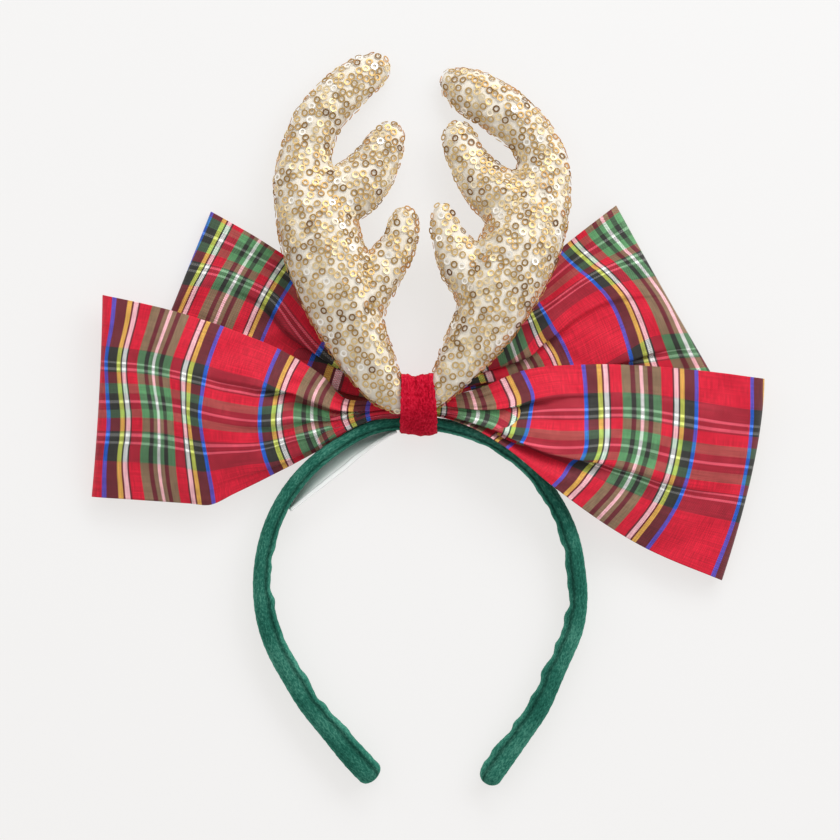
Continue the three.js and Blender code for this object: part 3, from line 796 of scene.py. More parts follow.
@dataclass
class VelvetBand:
    """The Alice band: a sleeve of velvet carried along its middle line."""

    radius: float = 63.2
    centre_y: float = -65.6
    crown_thick: float = 5.4
    end_thick: float = 8.6
    depth: float = 11.0
    crown_lift: float = 1.7
    power: float = 3.0
    cap: float = 4.0
    cap_rings: int = 7
    stations: int = 420
    sides: int = 44
    seam_depth: float = 0.9
    seam_wide: float = 0.3
    seam_across: float = -0.48
    gather_share: float = 0.7
    gather_swing: float = 0.5
    hollow_depth: float = 0.6
    pile_tone: float = 0.94
    # Painted shade darkens the sewn groove and a painted sheen lightens the flanks of the velvet.
    painted_groove_shade: float = 0.5
    painted_flank_sheen: float = 0.3
    turns: ClassVar[dict[Side, tuple[Pair, ...]]] = {
        Side.LEFT: ((135.7, 123.0), (38.0, 6.2), (19.0, 8.5)),
        Side.RIGHT: ((121.3, 110.0), (26.0, 3.0), (10.0, 13.0), (32.4, 0.0)),
    }
    bulges: ClassVar[tuple[Triple, ...]] = (
        (1.3, -18.0, 14.0), (0.25, -45.0, 40.0), (0.9, -152.0, 12.0), (1.1, 119.0, 13.0),
    )
    hollow: ClassVar[Row] = (48.0, 66.0, 92.0, 106.0)
    leg_swells: ClassVar[tuple[Triple, Triple]] = ((0.6, 0.45, 0.65), (0.3, 0.3, 0.45))
    tip_swells: ClassVar[Pair] = (0.4, 0.25)
    tip_span: ClassVar[Pair] = (0.8, 0.96)
    gather_span: ClassVar[Pair] = (0.25, 0.45)
    right_span: ClassVar[Pair] = (12.0, 40.0)
    gather_beats: ClassVar[tuple[Pair, Pair]] = ((53.0, 0.9), (61.0, 0.0))
    leg_gathers: ClassVar[tuple[Row, ...]] = (
        (0.34, 1 / 12.3, 0, 0.0), (0.3, 1 / 29.0, 0, 0.6), (0.16, 1 / 7.1, 0, 1.9),
    )
    right_gathers: ClassVar[tuple[Row, ...]] = (
        (0.3, 1 / 11.3, 0, 0.4), (0.3, 1 / 19.9, 0, 2.2), (0.1, 1 / 6.3, 0, 1.1),
    )
    pile_waves: ClassVar[tuple[Row, ...]] = ((0.06, 0.21, 0.13, 0.3), (0.05, 0.37, -0.19, 2.0))

    def reach(self, side: Side) -> float:
        """Length of one half from the crown to its end."""
        return sum(length for length, _ in self.turns[side])

    def half_thick(self, away: Array) -> Array:
        """Half the sleeve's thickness, which grows evenly from the crown to an end."""
        return (self.crown_thick + (self.end_thick - self.crown_thick) * away) / 2

    def walk(self, distance: Array, side: Side) -> tuple[Array, Array, Array]:
        """Walk from the crown down one side: each run is an arc, so it adds a chord at half its turn.

        Args:
            distance: How far to walk, never negative.
            side: Which way.

        Returns:
            X, Y and the turn so far in radians.
        """
        x = np.zeros_like(distance)
        y = np.full_like(distance, self.centre_y + self.radius)
        turned = np.zeros_like(distance)
        rest = distance.copy()
        for length, degrees in self.turns[side]:
            walked = np.clip(rest, 0.0, length)
            turn = np.radians(degrees) * walked / length
            chord = walked * np.sinc(turn / (2 * math.pi))
            x += chord * np.cos(turned + turn / 2)
            y -= chord * np.sin(turned + turn / 2)
            turned += turn
            rest -= length
        return x * side.value, y, turned * side.value

    def stray(self, distance: Array) -> Array:
        """How far the sleeve strays outwards from its path: the bulges less a shallow hollow.

        Args:
            distance: Places along the path, negative on the left.

        Returns:
            Millimetres outwards.
        """
        start, deep, still_deep, end = self.hollow
        dip = smoothstep(start, deep, distance) * (1 - smoothstep(still_deep, end, distance))
        bulge = sum(height * bell(distance, at, wide) for height, at, wide in self.bulges)
        return bulge - self.hollow_depth * dip

    def inner_radius(self, distance: Array) -> Array:
        """Radius of the inner side along the left arc: the path's, less half the sleeve, plus its stray."""
        away = np.abs(distance) / self.reach(Side.LEFT)
        return self.radius - self.half_thick(away) + self.stray(distance)

    def bunches(self, distance: Array, grown: Array, right: Array) -> Array:
        """Gathers of the cloth, which come and go along the legs.

        Args:
            distance: Places along the path.
            grown: How much of the gathers of both legs there is.
            right: How much of the right leg's own gathers there is.

        Returns:
            Millimetres inwards.
        """
        uneven, own = (self.gather_share + self.gather_swing * np.sin(2 * math.pi * distance / pitch + phase)
                       for pitch, phase in self.gather_beats)
        both = ripples(distance, 0.0, self.leg_gathers) * uneven * grown
        return both + ripples(distance, 0.0, self.right_gathers) * right * own

    def rings(self) -> tuple[Array, Array, Array]:
        """Rounded oblong sections along the path, with a sewn groove and bunches on the inner side.

        Returns:
            Points, their places along and across the sleeve in metres, and a factor of painted shade in the
            groove and painted sheen on the flanks.
        """
        low, high = -self.reach(Side.LEFT), self.reach(Side.RIGHT)
        spread = 0.5 - 0.5 * np.cos(np.linspace(0.0, math.pi, 2 * self.cap_rings))
        cap = self.cap * spread[:self.cap_rings] * 2
        middle = np.linspace(low + self.cap, high - self.cap, self.stations)
        distance = np.concatenate([low + cap, middle[1:-1], (high - cap)[::-1]])
        left = distance < 0
        walks = [self.walk(np.abs(distance), side) for side in Side]
        x, y, turn = (np.where(left, a, b) for a, b in zip(*walks))
        away = np.where(left, distance / low, distance / high)
        to_end = np.where(left, distance - low, high - distance)
        capped = np.clip(1 - to_end / self.cap, 0.0, 1.0)
        round_off = np.sqrt(np.clip(1 - capped**2, 0.0004, 1.0))
        swells = (swell * smoothstep(start, end, away) for swell, start, end in self.leg_swells)
        legs = np.where(left, *swells)
        tips = np.where(left, *self.tip_swells) * smoothstep(*self.tip_span, away)
        half = (self.half_thick(away) + legs + tips) * round_off
        angle = 2 * math.pi * (np.arange(self.sides) + 0.5) / self.sides
        cosine, sine = np.cos(angle)[None, :], np.sin(angle)[None, :]
        across = np.sign(cosine) * np.abs(cosine) ** (2 / self.power)
        up = np.sign(sine) * np.abs(sine) ** (2 / self.power)
        d, closing = distance[:, None], round_off[:, None]
        grown = smoothstep(*self.gather_span, away)[:, None] * closing
        right = smoothstep(*self.right_span, d) * closing
        bunch = self.bunches(d, grown, right) * np.clip(-across, 0.0, 1.0)
        pile = ripples(d, up * self.depth / 2, self.pile_waves)
        lateral = across * half[:, None] + self.stray(d) - bunch + pile * across
        seam = bell(across, self.seam_across, self.seam_wide / 2) * self.seam_depth * (up > 0) * closing
        tall = (self.depth / 2) * up * closing - seam + pile * up
        lift = self.crown_lift * (1 - y / y.min())
        points = np.empty((len(distance), self.sides, 3))
        points[..., 0] = x[:, None] + lateral * np.sin(turn)[:, None]
        points[..., 1] = y[:, None] + lateral * np.cos(turn)[:, None]
        points[..., 2] = np.maximum(0.0, self.depth / 2 + lift[:, None] + tall)
        lie = np.stack(np.broadcast_arrays(d, lateral, tall), axis=-1) * MM
        # Painted shade along the sewn groove and a painted sheen on the flanks, multiplied into the velvet's
        # colour.
        painted_groove_mask = bell(across, self.seam_across, self.seam_wide * 0.6) * smoothstep(0.0, 0.6, up)
        painted_flank_mask = smoothstep(0.6, 1.0, np.abs(across))
        shade = self.pile_tone - self.painted_groove_shade * painted_groove_mask + self.painted_flank_sheen * painted_flank_mask
        return points, lie, np.broadcast_to(shade, lateral.shape)

    def build(self) -> bpy.types.Object:
        """Make the band and dress it in velvet.

        Returns:
            The dressed band.
        """
        rings, lie, shade = self.rings()
        band = Shape.tube(rings).to_object("velvet_band")
        set_attribute(band, "lie", np.concatenate([lie.reshape(-1, 3), lie[[0, -1]].mean(axis=1)]))
        # The attribute shade carries painted shade in the groove and a painted sheen on the flanks.
        set_attribute(band, "shade", np.concatenate([shade.ravel(), np.ones(2)]))
        velvet = Pile(
            "green_velvet", dark=linear(20, 72, 60), mid=linear(44, 106, 90), pale=linear(86, 150, 130),
            sheen=0.35, grain=1500.0, stretch=(0.5, 1.0, 1.0), rough=0.55, spread=0.18, combed=True,
        )
        dress(band, velvet.material(), "headband")
        return band


# Bows


@dataclass(frozen=True)
class Pleat:
    """A fold whose edge laps over the cloth below it.

    cloth is the place across the strip, from -1 at the low edge to 1 at the top edge, of the middle
    of what it hides. Each row gives a distance along, where its edge lies across the loop there, the
    hidden share of the strip's half width, and how far the cloth drops below the edge.
    """

    cloth: float
    rows: tuple[Row, ...]


@dataclass(frozen=True)
class Sway:
    """A place where the threads swerve: its centre along and across the strip, its reaches and its shift."""

    at: float
    across: float
    reach: float
    wide: float
    shift: float


@dataclass
class Bow:
    """A ring of tartan, pinched at the knot into a loop on each side."""

    name: str
    node: str
    slot: str
    outline: Array
    height: Array
    pleats: dict[Side, tuple[Pleat, ...]]
    sways: tuple[Sway, ...]
    bias: dict[Side, Triple]
    gather: float
    flat: Pair
    rests_on: tuple[str, ...]
    half_width: float = 41.0
    wall: float = 0.4
    end_radius: float = 5.0
    end_steps: int = 9
    columns: int = 120
    step: float = 1.5
    least_hidden: float = 0.03
    far_edge: float = 0.92
    lead_in: float = 0.35
    lead_out: float = 0.4
    falls: ClassVar[tuple[float, ...]] = (0.0, 0.35, -0.55, -0.65, 0.0)
    knot_reach: ClassVar[Pair] = (8.0, 40.0)
    gather_reach: ClassVar[Pair] = (22.0, 24.0)
    gather_waves: ClassVar[tuple[Row, ...]] = ((1.0, 0.004, 1 / 15.0, 0.4), (0.5, -0.006, 1 / 9.5, 1.7))
    wrinkle_waves: ClassVar[tuple[Row, ...]] = (
        (0.34, 0.034, 0.021, 0.5), (0.26, -0.026, 0.047, 2.1), (0.2, 0.052, -0.06, 4.0),
        (0.1, 0.09, 0.05, 1.1),
    )

    def stations(self, end: float) -> Array:
        """Distances from the knot, closer together where the cloth turns.

        Args:
            end: Where the folded end is, negative on the left.

        Returns:
            The distances, in order from the knot.
        """
        reach = abs(end) - self.end_radius
        run = np.linspace(0.0, reach, round(reach / self.step))
        turn = np.sin(np.linspace(0.0, math.pi / 2, self.end_steps)[1:])
        return np.sign(end) * np.concatenate([run, reach + self.end_radius * turn])

    def crossing(self, at: Array, across: Array, side: Side) -> tuple[Array, Array]:
        """Lay the strip's threads across the loop.

        Between pleats the threads are spread evenly. At a pleat the line of places runs to the
        edge, back under it and out again, while its height falls from the edge to the cloth below.

        Args:
            at: Distances along the strip.
            across: Places across the strip.
            side: Which loop.

        Returns:
            Places across the loop, and heights to add in millimetres.
        """
        one = np.ones_like(at)
        knots, places = [one], [one]
        lift = np.zeros((len(at), len(across)))
        edges = smooth_rows(self.outline, at)
        width = np.hypot(edges[:, 0] - edges[:, 4], edges[:, 1] - edges[:, 5])
        for pleat in self.pleats[side]:
            rows = np.array(pleat.rows)
            rows = rows[np.argsort(rows[:, 0])]
            edge, hidden, drop = smooth_rows(rows, at).T
            hide = np.clip(hidden, self.least_hidden, None) / 2
            tuck = np.clip(hidden, 0.0, None) * self.half_width / width
            over, under = pleat.cloth + hide, pleat.cloth - hide
            knots += [over, pleat.cloth * one, under]
            places += [edge, edge + np.minimum(tuck, self.far_edge - edge), edge]
            ends = np.stack([over + self.lead_in, *knots[-3:], under - self.lead_out], axis=1)
            lift = lift + polyline(ends, drop[:, None] * np.array(self.falls), across)
        knots.append(-one)
        places.append(-one)
        place = polyline(np.stack(knots, 1), np.stack(places, 1), across)
        return soften(place, 3), soften(lift, 4)

    def loop(self, side: Side) -> tuple[Array, Array]:
        """One loop, from the knot over the top to the folded end and back below.

        A point is the low, middle and top places of its crossing joined by a parabola, at the
        height of the underside plus or minus half the loop's height, which closes as a quarter
        circle at the folded end and as an oval near the knot.

        Args:
            side: Which loop.

        Returns:
            Points, and places on the cloth in millimetres.
        """
        end = self.outline[0, 0] if side is Side.LEFT else self.outline[-1, 0]
        at = self.stations(end)
        across = np.linspace(1.0, -1.0, self.columns + 1)
        place, lift = self.crossing(at, across, side)
        turned = np.clip((self.end_radius - np.abs(end - at)) / self.end_radius, 0.0, 1.0)
        open_ = np.sqrt(np.clip(1 - turned**2, 0.0, 1.0))[:, None]
        near = 1 - smoothstep(*self.knot_reach, np.abs(at))[:, None]
        spot = place * self.half_width
        gathers = ripples(at[:, None] * side.value, spot, self.gather_waves)
        amount = self.gather * bell(np.abs(at), *self.gather_reach)[:, None]
        wrinkles = ripples(at[:, None], spot, self.wrinkle_waves)
        upper = self.layer(at, place, gathers * amount + wrinkles + lift, open_, near, True)
        lower = self.layer(at, place, np.maximum(-lift, 0.0) + np.abs(wrinkles), open_, near, False)
        points = np.concatenate([upper, lower[-2::-1]])
        along = np.concatenate([at, 2 * end - at[-2::-1]])
        u = np.repeat(along[:, None], len(across), axis=1)
        for sway in self.sways:
            swerve = bell(along, sway.at, sway.reach)[:, None] * bell(across, sway.across, sway.wide)
            u = u - sway.shift * swerve
        shift, slope, bend = self.bias[side]
        v = slope + self.half_width * across + bend * across**2
        uv = np.stack([u + shift, np.broadcast_to(v, u.shape)], axis=-1)
        return points, uv

    def layer(self, at: Array, q: Array, rise: Array, open_: Array, near: Array, top: bool) -> Array:
        """Lay out the upper or the lower cloth of a loop.

        Args:
            at: Distances along the strip.
            q: Places across the loop.
            rise: Heights to add.
            open_: How far the loop is open, 0 at its folded end.
            near: How far its section is an oval, 1 at the knot.
            top: Whether it is the upper cloth.

        Returns:
            A grid of points.
        """
        edges = smooth_rows(self.outline, at)
        sizes = smooth_rows(self.height, at)
        top_x, top_y, mid_x, mid_y, low_x, low_y = (edges[:, i, None] for i in range(6))
        under_top, under_mid, under_low, edge, middle = (sizes[:, i, None] for i in range(5))
        under = np.maximum(0.0, parabola(under_low, under_mid, under_top, q))
        full = edge + (middle - edge) * (1 - np.clip(q**2, 0.0, 1.0))
        oval = np.sqrt(np.clip(1 - near * q**2, 0.02, 1.0))
        half = full / 2 * open_ * oval
        height = under + full / 2 + (half + rise * open_ if top else rise * open_ - half)
        x, y = parabola(low_x, mid_x, top_x, q), parabola(low_y, mid_y, top_y, q)
        return np.stack([x, y, np.maximum(height, self.wall / 2)], axis=-1)

    def build(self, cloth: bpy.types.Material) -> bpy.types.Object:
        """Make the strip, give it its thickness and dress it.

        Args:
            cloth: The tartan.

        Returns:
            The dressed bow.
        """
        left, left_uv = self.loop(Side.LEFT)
        right, right_uv = self.loop(Side.RIGHT)
        points = np.concatenate([left[::-1], right[1:]])
        uv = np.concatenate([left_uv[::-1], right_uv[1:]]) / np.array(Tartan.uv_size) + 0.5
        bow = Shape.sheet(points, uv).to_object(self.name)
        thicken(bow, self.wall)
        dress(bow, cloth, self.node)
        return bow


def front_bow() -> Bow:
    """The wide bow in front. Its loops lie over the back bow, and the right one over the band.

    Each row of outline has a distance along the strip and X and Y of the top edge, the middle and the
    low edge there. Each row of height has the height of the underside at those three places, and how
    high the loop is at its edges and at its middle.

    Returns:
        The bow.
    """
    outline = np.array([
        [-128, -126.8, 49.6, -128.2, 8.8, -131.6, -32.0], [-105, -100.4, 43.6, -107.0, 8.0, -103.6, -33.8],
        [-92, -87.0, 39.6, -95.0, 5.8, -91.4, -34.6], [-84, -78.8, 37.0, -87.2, 3.8, -83.4, -35.0],
        [-77, -71.8, 34.3, -80.2, 2.2, -75.6, -31.2], [-62, -57.0, 28.2, -65.2, 0.6, -60.2, -23.4],
        [-41, -38.2, 16.6, -43.8, 3.0, -39.8, -12.6], [-27.5, -29.0, 7.6, -30.1, 1.0, -27.6, -5.0],
        [-20, -20.3, 6.8, -21.2, 2.6, -20.3, -1.6], [-7, -6.4, 7.6, -6.4, 4.2, -6.4, 0.2],
        [7, 5.4, 8.4, 5.4, 4.6, 5.4, 0.8],
        [25, 20.8, 11.2, 22.8, 2.8, 20.0, -3.5], [46, 42.4, 19.6, 46.2, 3.2, 36.0, -13.2],
        [68, 66.4, 21.6, 67.2, -4.8, 53.6, -28.0], [110, 112.0, 19.2, 109.2, -17.4, 92.4, -53.6],
        [136, 137.6, 16.0, 133.4, -19.6, 120.8, -65.6],
    ])
    height = np.array([
        [-128, 6.4, 6.2, 0.0, 8.0, 8.0], [-105, 7.2, 7.1, 0.0, 9.0, 11.0], [-84, 7.2, 7.1, 0.0, 9.0, 12.0],
        [-62, 7.2, 7.1, 0.4, 8.6, 11.6], [-41, 7.2, 7.2, 3.0, 8.0, 10.0], [-27.5, 7.3, 7.4, 5.4, 7.2, 8.4],
        [-20, 7.4, 7.4, 6.6, 6.8, 7.2],
        [-7, 7.6, 7.6, 7.6, 6.2, 6.4], [7, 7.6, 7.6, 7.6, 6.2, 6.4], [25, 7.4, 8.6, 14.2, 6.0, 7.2],
        [46, 7.4, 9.2, 14.8, 5.6, 9.6], [68, 7.4, 8.4, 14.2, 6.4, 11.4], [110, 7.8, 4.2, 0.0, 8.6, 11.6],
        [136, 6.4, 2.6, 0.0, 8.0, 8.0],
    ])
    pleats = {
        Side.LEFT: (
            Pleat(0.36, ((0, 0.0, 0.5, 1.2), (-20, 0.04, 0.44, 3.2), (-27.5, 0.24, 0.42, 4.6),
                         (-34, 0.2, 0.38, 5.6), (-41, 0.22, 0.36, 6.0), (-49, 0.36, 0.3, 5.6),
                         (-56, 0.39, 0.16, 4.4), (-64, 0.41, 0.02, 2.8), (-82, 0.36, 0.0, 0.8),
                         (-130, 0.36, 0.0, 0.0))),
            Pleat(-0.15, ((0, -0.5, 0.33, 1.2), (-20, -0.42, 0.32, 2.6), (-27.5, -0.33, 0.3, 3.6),
                          (-34, -0.35, 0.24, 4.2), (-41, -0.32, 0.14, 4.0), (-50, -0.27, 0.02, 3.0),
                          (-58, -0.2, 0.0, 1.8), (-72, -0.15, 0.0, 0.4), (-130, -0.15, 0.0, 0.0))),
            Pleat(-0.47, ((0, -0.7, 0.0, 0.6), (-27.5, -0.68, 0.05, 1.2), (-34, -0.66, 0.06, 1.8),
                          (-41, -0.69, 0.06, 1.8), (-49, -0.62, 0.03, 1.4), (-58, -0.58, 0.0, 0.5),
                          (-72, -0.52, 0.0, 0.0), (-90, -0.5, 0.0, 0.0), (-130, -0.47, 0.0, 0.0))),
            Pleat(-0.78, ((0, -0.97, 0.4, 3.5), (-27.5, -0.97, 0.4, 4.0), (-34, -0.96, 0.38, 4.0),
                          (-41, -0.95, 0.34, 4.0), (-49, -0.94, 0.28, 3.4), (-58, -0.92, 0.16, 2.4),
                          (-68, -0.86, 0.04, 1.0), (-84, -0.82, 0.0, 0.0), (-130, -0.78, 0.0, 0.0))),
        ),
        Side.RIGHT: (
            Pleat(0.55, ((0, 0.1, 0.3, 1.2), (20, 0.04, 0.2, 4.2), (28, 0.0, 0.12, 5.4),
                         (37, 0.02, 0.08, 5.0), (46, 0.2, 0.03, 3.6), (58, 0.42, 0.0, 1.8),
                         (72, 0.55, 0.0, 0.4), (140, 0.55, 0.0, 0.0))),
            Pleat(-0.28, ((0, -0.8, 0.7, 1.6), (24, -0.78, 0.68, 3.2), (36, -0.8, 0.65, 4.8),
                          (44, -0.82, 0.54, 5.6), (54, -0.74, 0.44, 5.8), (66, -0.54, 0.28, 5.6),
                          (75, -0.42, 0.12, 4.8), (88, -0.32, 0.0, 3.4), (102, -0.30, 0.0, 2.4),
                          (120, -0.28, 0.0, 0.6), (140, -0.28, 0.0, 0.0))),
        ),
    }
    sways = tuple(Sway(*row) for row in (
        (-128, 0.0, 45.0, 5.0, 2.6), (-118, -0.25, 22.0, 0.35, 2.2), (-122, 0.4, 18.0, 0.25, -1.2),
        (-90, -0.3, 25.0, 0.45, 1.2), (100, 0.6, 55.0, 0.7, -2.6), (62, 0.5, 16.0, 0.6, -1.6),
        (90, -1.0, 60.0, 0.4, -2.0), (140, 1.0, 20.0, 0.4, -2.0), (38, 0.05, 16.0, 0.3, 1.4),
        (62, -0.1, 14.0, 0.25, 2.6), (62, -0.5, 12.0, 0.2, -1.5), (38, 0.64, 14.0, 0.15, 1.0),
        (38, -0.02, 14.0, 0.2, 1.2), (-124, -0.15, 14.0, 0.55, -1.9), (-100, 0.33, 14.0, 0.3, -1.6),
        (-84, -0.12, 8.0, 0.25, -1.6), (-84, -0.8, 10.0, 0.3, 1.0), (-112, -0.6, 10.0, 0.25, -0.9),
    ))
    bias = {Side.LEFT: (0.0, 1.9, 2.0), Side.RIGHT: (0.0, 0.0, -5.3)}
    return Bow("tartan_bow_front", "bow_front", "tartan_front", outline, height, pleats, sways, bias,
               gather=0.4, flat=(0.082, 0.528), rests_on=("tartan_bow_back", "velvet_band"))


def back_bow() -> Bow:
    """The shorter bow behind, whose loops turn up beside the antlers.

    Returns:
        The bow, from tables like those of the front one.
    """
    outline = np.array([
        [-102, -83.6, 83.2, -98.8, 45.4, -114.0, 8.0], [-80, -64.0, 71.8, -79.2, 43.6, -92.0, 6.4],
        [-58, -46.0, 59.4, -56.4, 40.8, -68.0, 9.2], [-36, -28.0, 44.0, -36.0, 29.4, -42.0, 9.6],
        [-27, -20.0, 36.4, -25.6, 23.0, -30.0, 5.6], [-19, -11.6, 27.6, -15.6, 17.6, -19.6, 5.0],
        [-11, -8.8, 16.4, -9.4, 11.0, -9.6, 5.2], [-7, -6.4, 15.2, -6.4, 10.6, -6.4, 5.4],
        [7, 5.4, 15.2, 5.4, 11.0, 5.4, 6.4],
        [11, 8.0, 16.4, 8.6, 12.0, 8.8, 7.0], [19, 13.2, 27.6, 15.6, 19.6, 18.6, 10.6],
        [36, 28.0, 44.0, 34.0, 30.2, 41.0, 12.8], [61, 42.4, 55.2, 54.4, 34.8, 64.0, 12.0],
        [84, 58.0, 69.6, 75.6, 45.2, 88.0, 12.0], [106, 78.4, 85.6, 98.0, 50.4, 119.0, 14.0],
    ])
    height = np.array([
        [-102, 0.0, 0.0, 0.0, 6.0, 6.4], [-80, 0.0, 0.0, 0.0, 6.2, 6.6], [-36, 0.0, 0.0, 0.0, 6.2, 6.6],
        [-17, 1.2, 1.2, 1.2, 5.4, 5.6], [-7, 1.7, 1.7, 1.7, 5.0, 5.2], [7, 1.7, 1.7, 1.7, 5.0, 5.2],
        [17, 1.2, 1.2, 1.2, 5.4, 5.6], [36, 0.0, 0.0, 0.0, 6.2, 6.6], [84, 0.0, 0.0, 0.0, 6.2, 6.6],
        [106, 0.0, 0.0, 0.0, 6.0, 6.4],
    ])
    pleats = {
        Side.LEFT: (
            Pleat(0.27, ((0, -0.5, 0.3, 1.6), (-25, -0.45, 0.3, 2.8), (-36, -0.38, 0.24, 3.6),
                        (-43, -0.32, 0.16, 4.0), (-53.5, -0.18, 0.06, 3.6), (-64, 0.08, 0.0, 2.4),
                        (-80, 0.25, 0.0, 0.5), (-104, 0.27, 0.0, 0.0))),
            Pleat(-0.55, ((0, -0.8, 0.5, 3.0), (-36, -0.8, 0.6, 4.5), (-43, -0.8, 0.56, 4.5),
                          (-58, -0.78, 0.4, 4.5), (-80, -0.72, 0.16, 3.0), (-94, -0.6, 0.0, 0.6),
                          (-104, -0.55, 0.0, 0.0))),
        ),
        Side.RIGHT: (
            Pleat(0.5, ((0, 0.3, 0.4, 1.6), (22, 0.35, 0.36, 1.6), (40, 0.45, 0.2, 1.4),
                        (55, 0.5, 0.0, 0.6), (70, 0.5, 0.0, 0.0), (108, 0.5, 0.0, 0.0))),
            Pleat(-0.05, ((0, -0.5, 0.4, 1.6), (36, -0.55, 0.4, 3.4), (44, -0.45, 0.3, 3.8),
                          (51, -0.25, 0.18, 3.8), (65, -0.02, 0.05, 3.0), (84, 0.03, 0.0, 1.4),
                          (108, -0.05, 0.0, 0.0))),
            Pleat(-0.62, ((0, -0.85, 0.3, 2.5), (36, -0.88, 0.4, 4.5), (61, -0.8, 0.36, 4.5),
                          (84, -0.72, 0.16, 3.0), (98, -0.62, 0.0, 0.6), (108, -0.62, 0.0, 0.0))),
        ),
    }
    sways = tuple(Sway(*row) for row in (
        (106, 0.0, 25.0, 6.0, -2.0), (44, 0.1, 14.0, 0.3, -2.6), (46, -0.25, 14.0, 0.2, 2.0),
        (-42, -0.2, 18.0, 1.0, -5.2), (106, 0.8, 25.0, 0.5, -1.8), (-102, 0.0, 16.0, 6.0, -1.2),
        (-102, -1.0, 16.0, 0.8, -1.8), (-102, 0.0, 24.0, 0.55, -1.9), (90, 0.9, 26.0, 0.4, -2.4),
        (90, -0.1, 26.0, 0.4, 2.4),
    ))
    bias = {Side.LEFT: (-26.0, -31.5, 0.0), Side.RIGHT: (-15.4, -30.5, 0.0)}
    return Bow("tartan_bow_back", "bow_back", "tartan_back", outline, height, pleats, sways, bias,
               gather=0.3, flat=(0.082, 0.416), rests_on=("floor",))


# Antlers


@dataclass(frozen=True)
class Limb:
    """One stuffed limb: rows of X, Y, half width and height of its middle. The last row is its tip."""

    rows: tuple[Row, ...]
    depth: float = 0.6
    slim: float = 0.7
    least_half: float = 0.3
    sides: int = 26
    steps: int = 64
    tip_steps: int = 9
    tip_turn: float = 0.98

    def tube(self) -> Shape:
        """Oval rings along the rows, each across the path, closing as a quarter circle at the tip.

        Returns:
            The limb as a closed tube.
        """
        rows = np.array(self.rows)
        run = np.concatenate([[0.0], np.cumsum(np.hypot(*np.diff(rows[:, :2], axis=0).T))])
        table = np.column_stack([run, rows])
        shoulder, tip = run[-2], run[-1]
        body = np.linspace(0.0, shoulder, self.steps)
        turn = np.linspace(0.0, self.tip_turn * math.pi / 2, self.tip_steps)[1:]
        at = np.concatenate([body, shoulder + (tip - shoulder) * np.sin(turn)])
        x, y, half, z = smooth_rows(table, at).T
        past = np.clip((at - shoulder) / (tip - shoulder), 0.0, 1.0)
        half = np.where(past > 0, rows[-2, 2] * np.sqrt(1 - past**2), half)
        half = np.maximum(half - self.slim, self.least_half)
        heading = np.arctan2(np.gradient(y, at), np.gradient(x, at))
        angle = 2 * math.pi * np.arange(self.sides) / self.sides
        lateral = half[:, None] * np.cos(angle)
        rings = np.stack([
            x[:, None] - np.sin(heading)[:, None] * lateral,
            y[:, None] + np.cos(heading)[:, None] * lateral,
            z[:, None] + half[:, None] * self.depth * np.sin(angle),
        ], axis=-1)
        return Shape.tube(rings)


